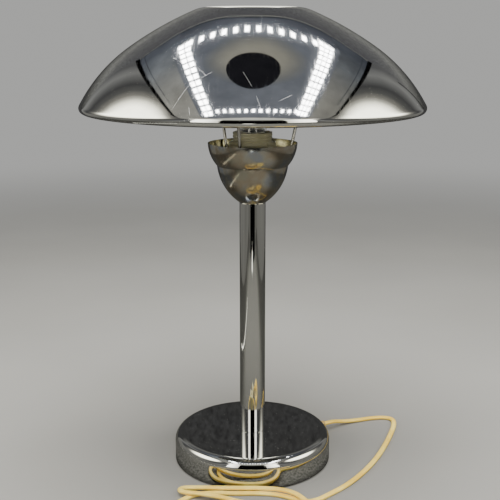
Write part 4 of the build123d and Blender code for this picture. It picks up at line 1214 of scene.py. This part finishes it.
def form_rocker():
    """Rocker with grip ribs across both slopes, tipped one way on its pin."""
    edge = ROCKER_SHOULDER * ROCKER_REACH
    smooth_middle, smooth_end = ROCKER_GRIPPED[0] * ROCKER_REACH, ROCKER_GRIPPED[1] * edge
    top = []
    for i in range(ROCKER_STEPS + 1):
        x = edge - 2 * edge * i / ROCKER_STEPS
        height = ROCKER_MIDDLE + (ROCKER_END - ROCKER_MIDDLE) * abs(x) / ROCKER_REACH
        gripped = smooth_middle < abs(x) < smooth_end
        dip = 0.5 - 0.5 * math.cos(2 * math.pi * x / ROCKER_RIB) if gripped else 0.0
        top.append((x, height - ROCKER_GROOVE * dip))
    end = math.degrees(math.atan2(top[0][1], edge))
    foot, gap = ROCKER_FLANKS
    right = arc((0, 0), ROCKER_REACH, foot, end - gap)
    left = arc((0, 0), ROCKER_REACH, 180 + gap - end, 180 - foot)
    side_view = [*right, *top, *left, (-2 * ROCKER_PIN, -ROCKER_PIN), (2 * ROCKER_PIN, -ROCKER_PIN)]
    half = ROCKER_WIDTH / 2
    cheeks = ((-half, ROCKER_CHEEK), (EDGE - half, 1.0), (half - EDGE, 1.0), (half, ROCKER_CHEEK))
    rings = [[(x * size, across, z * size) for x, z in side_view] for across, size in cheeks]
    place = Matrix.Translation((*SWITCH_PLACE, ROCKER_PIVOT))
    tipped = place @ Matrix.Rotation(math.radians(-ROCKER_TILT), 4, "Y")
    crossways = place @ Matrix.Rotation(math.pi / 2, 4, "X")
    low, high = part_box("switch_rocker")
    reach = (high.y - low.y) / 2
    pin = lathe(rod(ROCKER_PIN, -reach, reach), PIVOT_TURNS, closed=False, place=crossways)
    made = joined([loft(rings, tipped), pin])
    return piece("rocker", made, ROCKER, "rocker", ("switch_rocker",))


def plug_size(share):
    """Width and thickness of the plug at a share of its way from rear to face."""
    for (start, *small), (end, *large) in zip(PLUG_SECTIONS, PLUG_SECTIONS[1:]):
        if share <= end:
            part = (share - start) / (end - start)
            return [s + (b - s) * part for s, b in zip(small, large)]
    return list(PLUG_SECTIONS[-1][1:])


def mould_plug():
    """Plug body with grip grooves and a ribbed relief, its two pins and their sleeves."""
    y, z = PLUG_AXIS
    length = PLUG_REAR - PLUG_FACE
    forwards = Matrix(((0, 0, -1, 0), (1, 0, 0, 0), (0, -1, 0, 0), (0, 0, 0, 1)))
    rear = Matrix.Translation((PLUG_REAR, y, z)) @ forwards
    start, end, count = PLUG_GRIPS
    rings = []
    for i in range(PLUG_STEPS + 1):
        share = i / PLUG_STEPS
        width, thickness = plug_size(share)
        dip = 0.5 - 0.5 * math.cos(2 * math.pi * count * (share - start) / (end - start))
        inset = PLUG_GRIP_DEPTH * dip if start < share < end else 0.0
        inset = max(inset, 2 * EDGE - share * length, 2 * EDGE - (1 - share) * length)
        width, thickness = width - 2 * inset, thickness - 2 * inset
        rings.append(rounded_loop(width, thickness, PLUG_CORNER * thickness, share * length))
    body = loft(rings, rear)
    along = Matrix.Rotation(math.pi / 2, 4, "Y")
    drills, pins, sleeves = [], [], []
    for side in (-1, 1):
        place = Matrix.Translation((0, y + side * PIN_SPACING / 2, z)) @ along
        shank = [(0, PIN_ROOT), (PIN_CORE, PIN_ROOT), (PIN_CORE, PIN_STEP), (PIN_RADIUS, PIN_STEP)]
        nose = arc((0, PIN_TIP + PIN_RADIUS), PIN_RADIUS, 0, -90, step=9)
        pins.append(lathe([*shank, *nose], PIN_TURNS, closed=False, place=place))
        bore = rod(PIN_CORE, PIN_ROOT, PIN_BORE_END)
        drills.append(lathe(bore, PIN_TURNS, closed=False, place=place))
        outside = PIN_RADIUS - EDGE / 3
        tube = [(PIN_CORE, PLUG_FACE), (outside, PLUG_FACE), (outside, PIN_STEP), (PIN_CORE, PIN_STEP)]
        sleeves.append(lathe(eased(tube, EDGE / 3), PIN_TURNS, place=place))
    taper = ribbed(PLUG_REAR, PLUG_RELIEF_TIP, *PLUG_RELIEF, PLUG_RELIEF_RIBS)
    place = Matrix.Translation((0, y, z)) @ along
    tail = (PLUG_RELIEF[1] - EDGE, PLUG_RELIEF_TIP)
    outline = [(0, PLUG_REAR), *taper, tail, (0, PLUG_RELIEF_TIP)]
    relief = lathe(outline, DRILL_TURNS, closed=False, place=place)
    body = joined([cut(body, drills), relief])
    return (
        piece("plug_moulding", body, IVORY, "lamp", ("plug_body",)),
        piece("plug_prongs", joined(pins), BRASS, "lamp", ("plug_pins",)),
        piece("prong_sleeves", joined(sleeves), NYLON, "lamp", ("pin_sleeves",)),
    )


def flex_route():
    """The whole flex: lead, switch, loop, coil and tail."""
    angle = math.radians(OUTLET_ANGLE)
    reaches = (RELIEF_TIP, RELIEF_TIP + OUTLET_RUN)
    exit_points = [(reach * math.cos(angle), reach * math.sin(angle), OUTLET_HEIGHT) for reach in reaches]
    free = [(*point, FLEX_LEVEL)[:3] for point in (*LEAD_ROUTE, *LOOP_ROUTE)]
    return [*exit_points, *free, *coil_points(), *TAIL_ROUTE]


def coil_points():
    """Turns of the coil: in along the floor, up a layer, and out again."""
    x, y = COIL_CENTRE
    climb = COIL_HALF_TURNS // 2
    low, high = FLEX_LEVEL, COIL_LAYER * FLEX_THICKNESS
    points = []
    for half in range(COIL_HALF_TURNS):
        radii = [COIL_RADIUS - COIL_STEP * min(k, COIL_HALF_TURNS - k) for k in (half, half + 1)]
        levels = [high if k > climb else low for k in (half, half + 1)]
        for i in range(COIL_POINTS):
            share = (i + 0.5) / COIL_POINTS
            angle = math.pi * (0.5 - half - share)
            radius = radii[0] + (radii[1] - radii[0]) * share
            level = levels[0] + (levels[1] - levels[0]) * share
            points.append((x + radius * math.cos(angle), y + radius * math.sin(angle), level))
    return points


def flex_profile():
    """Cross-section of flat twin flex: two round cores side by side, with a groove between them."""
    core = FLEX_THICKNESS / 2
    offset = FLEX_WIDTH / 2 - core
    groove = FLEX_GROOVE * core
    outline = [
        *arc((offset, 0), core, -90, 90, step=20),
        (0, groove),
        *arc((-offset, 0), core, 90, 270, step=20),
        (0, -groove),
    ]
    flat = [(across, up, 0) for across, up in outline]
    curve = bpy.data.curves.new("flex_section", "CURVE")
    curve.dimensions = "2D"
    spline_through(curve, "POLY", flat).use_cyclic_u = True
    obj = linked("flex_section", curve)
    obj.hide_render = True
    obj.hide_viewport = True
    return obj


def lay_flex(carried):
    """The free flex as one smooth line from the relief to the plug. The pieces passed as carried are not
    used.
    """
    route = flex_route()
    curve = bpy.data.curves.new("flex", "CURVE")
    curve.dimensions = "3D"
    curve.twist_mode = "Z_UP"
    curve.resolution_u = FLEX_STEPS
    curve.bevel_mode = "OBJECT"
    curve.bevel_object = flex_profile()
    curve.use_fill_caps = True
    spline = spline_through(curve, "NURBS", route)
    spline.order_u = 3
    spline.use_endpoint_u = True
    spline.use_smooth = True
    laid = ("flex_lead", "flex_loop", "flex_tail", "cord_coil")
    flex = piece("flex", curve, FLEX, "lamp", laid)


def set_camera():
    """Camera at the photograph's place and angle."""
    data = bpy.data.cameras.new("camera")
    data.sensor_width = SENSOR_WIDTH
    data.lens = FOCAL_PIXELS * SENSOR_WIDTH / IMAGE_SIZE
    camera = linked("camera", data)
    camera.location = CAMERA_PLACE
    camera.rotation_euler = (math.pi / 2 - CAMERA_TILT, 0, 0)
    bpy.context.scene.camera = camera


def soft_light(name, place, aim, size, power, colour):
    """A soft rectangular light at a place, facing a point. The polish sees the cards in its stead."""
    data = bpy.data.lights.new(name, "AREA")
    data.shape = "RECTANGLE"
    data.size, data.size_y = size
    data.energy = power
    data.color = linear(colour)[:3]
    light = linked(name, data)
    light.location = place
    light.rotation_euler = (Vector(aim) - Vector(place)).to_track_quat("-Z", "Y").to_euler()
    light.visible_glossy = False


def stage_mesh(name, patches, material):
    """Part of the studio, made of patches that are rows of points."""
    vertices, faces = [], []
    for rows in patches:
        count = len(rows[0])
        for index in range(len(rows) - 1):
            first = len(vertices) + index * count
            faces += [(i, i + 1, i + count + 1, i + count) for i in range(first, first + count - 1)]
        vertices += [point for row in rows for point in row]
    mesh = bpy.data.meshes.new(name)
    mesh.from_pydata(vertices, [], faces)
    mesh.materials.append(material)
    obj = linked(name, mesh)
    return obj


def card(name, patches, material):
    """A card that only gloss sees. It lights nothing and casts no shadow."""
    obj = stage_mesh(name, patches, material)
    for ray in ("camera", "diffuse", "transmission", "volume_scatter", "shadow"):
        setattr(obj, f"visible_{ray}", False)


def level_patch(x, y, z):
    """Level patch between two x and two y."""
    return [[(side, along, z) for side in x] for along in y]


def lamp_row(start, end, count, size, level, bow=0.0):
    """Patches of one row of lamps between two places. A bow bends the row."""
    patches = []
    for i in range(count):
        share = i / (count - 1)
        x = start[0] + (end[0] - start[0]) * share
        y = start[1] + (end[1] - start[1]) * share + bow * x * x
        patches.append(level_patch((x - size[0], x + size[0]), (y - size[1], y + size[1]), level))
    return patches


def lamp_frame(grow, level):
    """The frame of lamps in the ceiling: one row behind, one in front, two columns left and three right."""
    patches = []
    for ends, y, bow, depth in (
        (LAMP_BACK_ENDS, LAMP_BACK, LAMP_BACK_BOW, LAMP_BACK_DEPTH),
        (LAMP_FRONT_ENDS, LAMP_FRONT, LAMP_FRONT_BOW, LAMP_FRONT_DEPTH),
    ):
        size = (LAMP_ROW_HALF + grow, depth + grow)
        patches += lamp_row((ends[0], y), (ends[1], y), LAMP_ROW_COUNT, size, level, bow)
    for columns, ends, count, width in (
        (LAMP_LEFT, LAMP_LEFT_ENDS, LAMP_LEFT_COUNT, LAMP_LEFT_HALF),
        (LAMP_RIGHT, LAMP_RIGHT_ENDS, LAMP_RIGHT_COUNT, LAMP_RIGHT_HALF),
    ):
        size = (width + grow, LAMP_COLUMN_DEPTH + grow)
        for x in columns:
            patches += lamp_row((x, ends[0]), (LAMP_TAPER * x, ends[1]), count, size, level)
    return patches


def round_patch(place, size, level):
    """Level oval patch about a place, by half its width and depth."""
    x, y = place[:2]
    rim = [(x + size[0] * math.cos(a), y + size[1] * math.sin(a), level) for a in turn_angles(ROUND_STEPS)]
    return [[(x, y, level)] * (ROUND_STEPS + 1), [*rim, rim[0]]]


def side_patch(x, top):
    """Upright patch along a side of the tent, from the floor to a height."""
    return [[(x, y, z) for y in (TENT_FRONT, TENT_BACK)] for z in (0, top)]


def front_patch(ends, heights, inset=0):
    """Upright patch across the front of the tent."""
    return [[(x, TENT_FRONT + inset, z) for x in ends] for z in heights]


def light_room():
    """Pale floor and room, and soft lights."""
    ends = (-FLOOR_REACH, FLOOR_REACH)
    floor = stage_mesh("floor", [level_patch(ends, ends, 0.0)], studio_paper(HORIZON))
    floor.visible_glossy = False
    world = bpy.data.worlds.new("room")
    world.use_nodes = True
    world.node_tree.nodes.clear()
    shine = add(world.node_tree, "ShaderNodeBackground", {"Color": linear(HORIZON)})
    add(world.node_tree, "ShaderNodeOutputWorld", links={"Surface": shine.outputs[0]})
    world.cycles_visibility.glossy = False
    bpy.context.scene.world = world
    for light in LIGHTS:
        soft_light(*light)


def lay_floor_cards(black, white):
    """Cloth in the place of the floor, and the strips on it that the foot of the lamp mirrors."""
    deep = (TENT_FRONT, TENT_BACK)
    card("cloth", [level_patch((TENT_LEFT, TENT_RIGHT), deep, CARD_LIFT)], grey_cloth())
    ends, back = FRONT_STRIP
    card("front_strip", [level_patch(ends, (TENT_FRONT, back), 2 * CARD_LIFT)], white)
    for name, span in (("left", (PORTRAIT_X[0], ends[0])), ("right", (FRONT_SHADE_RIGHT, PORTRAIT_X[1]))):
        shade = level_patch(span, (TENT_FRONT, FRONT_SHADE_BACK), 3 * CARD_LIFT)
        card(f"front_shade_{name}", [shade], black)
    line = [[(x + side * FLOOR_LINE_HALF, y, 2 * CARD_LIFT) for side in (-1, 1)] for x, y in FLOOR_LINE]
    card("floor_line", [line], white)


def hang_ceiling():
    """Ceiling with brighter sides and front, the panel over the lamp and the port."""
    deep = (TENT_FRONT, TENT_BACK)
    tone = card_glow("ceiling_tone", CEILING_MIDDLE, deep, "Y", cloud=0.2)
    middle = (LAMP_LEFT[0], LAMP_RIGHT[-1])
    card("ceiling", [level_patch(middle, deep, TENT_TOP)], tone)
    sides = (("left", (TENT_LEFT, middle[0])), ("right", (middle[1], TENT_RIGHT)))
    for (side, ends), level in zip(sides, CEILING_SIDE_LEVELS):
        tone = card_glow(f"ceiling_{side}_tone", CEILING_SIDE, deep, "Y", strength=level, cloud=0.25)
        card(f"ceiling_{side}", [level_patch(ends, deep, TENT_TOP)], tone)
    wide = (TENT_LEFT, TENT_RIGHT)
    tone = card_glow("ceiling_front_tone", CEILING_FRONT_TONES, wide, "X", strength=4.0, cloud=0.15)
    card("ceiling_front", [level_patch(wide, CEILING_FRONT, TENT_TOP - CARD_GAP)], tone)
    oval = (PANEL_PLACE, (1, 1, 1), 0)
    tone = card_glow("panel_tone", PANEL_TONES, (0, PANEL_REACH), oval=oval, cloud=0.12)
    panel = round_patch(PANEL_PLACE, (PANEL_REACH, PANEL_REACH), TENT_TOP - PANEL_DROP * CARD_GAP)
    card("ceiling_panel", [panel], tone)
    dusk = card_glow("port_tone", even("232327"), cloud=0.4)
    card("camera_port", [round_patch(PORT_PLACE, PORT_SIZE, TENT_TOP - PORT_DROP * CARD_GAP)], dusk)


def hang_lamps():
    """The frame of lamps, over glows that brighten towards them."""
    for index, tone in enumerate(HALO_TONES):
        halo = card_glow(f"lamp_halo_tone_{index}", even(tone), strength=1.1, cloud=0.25)
        frame_patches = lamp_frame(HALO_REACH - HALO_STEP * index, TENT_TOP - HALO_DROP - CARD_GAP * index)
        card(f"lamp_halo_{index}", frame_patches, halo)
    bright = card_glow("lamp_dots", even("FFFFFF"), strength=22.0)
    bright.cycles.emission_sampling = "AUTO"
    card("lamps", lamp_frame(0.0, TENT_TOP - LAMP_DROP), bright)


def hang_sheet(black, white, dim):
    """Sheet behind the lamp, leaning in under the ceiling with a bowed hem, and the cards before it."""
    width = TENT_RIGHT - TENT_LEFT
    across = [TENT_LEFT + width * i / ROUND_STEPS for i in range(ROUND_STEPS + 1)]
    brow = [HEM_MIDDLE + HEM_SIDE * (1 - math.exp(-((x / HEM_WIDTH) ** 2))) for x in across]
    top = TENT_TOP - 2 * CARD_GAP
    tone = card_glow("sheet_tone", SHEET_TONES, (0, TENT_TOP), cloud=0.7, grain=SHEET_GRAIN)
    rows = [[(x, SHEET_FOOT, 0.0) for x in across], [(x, y, top) for x, y in zip(across, brow)]]
    card("back_sheet", [rows], tone)

    def along_hem(gap, level=top):
        return [(x, y - gap, level) for x, y in zip(across, brow)]

    hem = along_hem(CARD_GAP)
    card("sheet_hem", [[hem, along_hem(4 * CARD_GAP, top - HEM_DROP)]], black)
    card("hem_edge", [[hem, along_hem(CARD_GAP + HEM_EDGE)]], card_glow("hem_tone", even("B5B4AD")))
    card("hem_shade", [[along_hem(CARD_GAP + HEM_EDGE), along_hem(CARD_GAP + HEM_SHADE)]], dim)

    lean = (SHEET_FOOT - HEM_MIDDLE) / TENT_TOP
    ends = (-CROWN_LIGHT_HALF, CROWN_LIGHT_HALF)
    rows = [[(x, SHEET_FOOT - lean * z - CROWN_LIGHT_GAP, z) for x in ends] for z in CROWN_LIGHT_HEIGHTS]
    card("crown_light", [rows], white)
    foot = SHEET_FOOT - CORNER_SEAM_GAP
    shifts = (0, CORNER_SEAM_WIDTH)
    rows = [[(x + shift, foot - CORNER_SEAM_LEAN * z, z) for x, z in CORNER_SEAM] for shift in shifts]
    card("corner_seam", [rows], black)


def stand_walls(black, dim):
    """Side walls, each with its glow, low band, seam and crease, and the front with a black portrait."""
    low_tone = card_glow("low_wall_tone", ((0, "82817B"), (1, "8A8983")), (0, LOW_WALL_TOP), cloud=0.15)
    for side, x in (("left", TENT_LEFT), ("right", TENT_RIGHT)):
        oval = ((x, *GLOW_PLACE), GLOW_SQUASH, GLOW_TURN)
        tone = card_glow(f"{side}_wall_tone", WALL_TONES, oval=oval, strength=14.0, cloud=0.1)
        card(f"{side}_wall", [side_patch(x, TENT_TOP)], tone)
        card(f"{side}_low_wall", [side_patch(x * LOW_WALL_INSET, LOW_WALL_TOP)], low_tone)
        near = x * WALL_SEAM_INSET
        rows = [[(near, y, TENT_TOP - drop * part) for y, drop in WALL_SEAM] for part in (0, 1)]
        card(f"{side}_seam", [rows], black)
        ends = (x * CREASE_INSET, x * CREASE_INSET * CREASE_WIDTH)
        card(f"{side}_crease", [level_patch(ends, CREASE_ENDS, TENT_TOP - CREASE_DROP * CARD_GAP)], dim)
    wide = (TENT_LEFT, TENT_RIGHT)
    tone = card_glow("front_tone", FRONT_TONES, wide, "X", cloud=0.15)
    card("front_wall", [front_patch(wide, (0, TENT_TOP))], tone)
    card("front_black", [front_patch(PORTRAIT_X, (0, PORTRAIT_TOP), 2 * CARD_GAP)], black)
    for side, ends in (("left", (TENT_LEFT, PORTRAIT_X[0])), ("right", (TENT_RIGHT, PORTRAIT_X[1]))):
        tone = card_glow(f"front_{side}_tone", BRIGHT_FRONT_TONES, ends, "X", strength=7.0, cloud=0.12)
        card(f"front_{side}", [front_patch(ends, BRIGHT_FRONT, CARD_GAP)], tone)


def set_studio():
    """Pale room with soft lights, and round the lamp a tent of cards for the polish to mirror."""
    black = card_glow("black_card", even("070707"))
    white = card_glow("white_card", even("F2F0E2"), strength=3.5, cloud=0.1)
    dim = card_glow("dim_card", even("43464C"))
    light_room()
    lay_floor_cards(black, white)
    hang_ceiling()
    hang_lamps()
    hang_sheet(black, white, dim)
    stand_walls(black, dim)


# Plate buffed to a mirror with a faint haze: base and stem
CHROME = chrome_plate("polished_chrome_plate", ("C6C7C7", "CBCBC9"), polish=0.03)
# The same mirror with a few bright hairlines: outside of the shade
SHADE_CHROME = chrome_plate("scratched_chrome_plate", ("C6C7C7", "CBCBC9"), 0.03, scratches=SHADE_SCRATCHES)
# Plate that the lamp's heat has dulled and tinted in patches of straw and blue: outside of the cup
HEAT_TINTS = ("9E9C8E", "A89D8B", "AEABA1", "9AA0A9", "A6A194")
CUP_CHROME = chrome_plate("heat_tinted_chrome_plate", HEAT_TINTS, polish=0.14, haze_size=26)
# Thin plate on hard wire, greyer and with a softer shine: carrier
WIRE_CHROME = chrome_plate("chromed_spring_wire", ("A9A7A1", "BDBBB6"), polish=0.14, haze_size=20)
# Dull silver with fine rings round it, clean in the shade and yellowed in the cup
SHADE_INSIDE = spun_inside("unbuffed_spun_chrome", "AFAEAB", "C4C4C2")
CUP_INSIDE = spun_inside("smoked_spun_chrome", "8E8A70", "A8A389")
# Pale grey with a dull sheen: rod, nuts, washer, bushes and screws
STEEL = drawn_metal("zinc_plated_steel", "B9B7AE", "8F8D86", roughness=0.32)
# Warm yellow shine: contacts, terminal screws and pins
BRASS = drawn_metal("bright_brass", "C9A45A", "A07F3C", roughness=0.28)
# Soft white shine: cap of the bulb, with a grey bead of solder under it
CAP_METAL = drawn_metal("drawn_aluminium", "C8C7C3", "A4A39F", roughness=0.3)
SOLDER = drawn_metal("tin_solder", "9C9C98", "7B7B78", roughness=0.4, line=1.5)
# Dark grey wire: filament and its leads
TUNGSTEN = drawn_metal("drawn_tungsten", "5A5856", "3B3A39", roughness=0.4)
# Cream plastic with a soft gloss. The holder's copy is darker all over, as painted shade for the shadow of
# the shade over it; the rocker's is browned by hands
SHADED_HOLDER_IVORY = moulded("painted_shade_ivory_urea_plastic", "BEBB9E", "AAA585", roughness=0.34, grime="5A5130")
IVORY = moulded("ivory_urea_plastic", "DDD6AC", "C9C08E", roughness=0.3, grime="6B6038")
ROCKER = moulded("darker_ivory_urea_plastic", "BBAA7C", "A08E60", roughness=0.32, grime="5A4B2C")
# Near-black with a satin surface: cord clamp and sleeves of the pins
NYLON = moulded("black_nylon", "1E1E1F", "151516", roughness=0.5)
# Golden and duller than the flex: relief at the outlet
RELIEF = moulded("gold_soft_pvc", "D8BE7C", "BE9F60", roughness=0.42, grime="7A6233")
IRON = cast_iron()
FELT = wool_felt()
FLEX = flex_sheath()
# Off-white and glossy with fine specks, and black glass with a wet shine
STEATITE = fired("glazed_steatite", "E6E2D8", "A79E8C", roughness=0.3)
VITRITE = fired("black_insulating_glass", "16131C", "2C2833", roughness=0.12)
GLASS = blown_glass()

set_camera()
lay_flex([drive_switch_screws(), form_rocker(), *mould_plug()])
spin_shade()
spin_cup()
spin_base()
draw_stem()
mould_holder_cap()
mould_mantle()
mould_clamp_ring()
press_bulb_cap()
blow_bulb()
wind_filament()
bend_carrier()
mould_relief()
press_felt()

# Carried-over solids and what each is made of
KEPT = {
    STEEL: (
        "base_nut",
        "base_washer",
        "clamp_screws",
        "cup_nut",
        "stem_bush_bottom",
        "stem_bush_top",
        "threaded_rod",
    ),
    BRASS: ("centre_contact", "screw_shell", "switch_contacts", "terminal_screws"),
    IVORY: ("switch_lower", "switch_upper"),
    NYLON: ("cord_clamp",),
    STEATITE: ("contact_block", "holder_insert"),
    FLEX: ("flex_inner",),
    IRON: ("base_weight",),
    SOLDER: ("bulb_contact",),
    VITRITE: ("bulb_insulator",),
}
for material, names in KEPT.items():
    for name in names:
        nodes[name].data.materials.clear()
        nodes[name].data.materials.append(material)

set_studio()
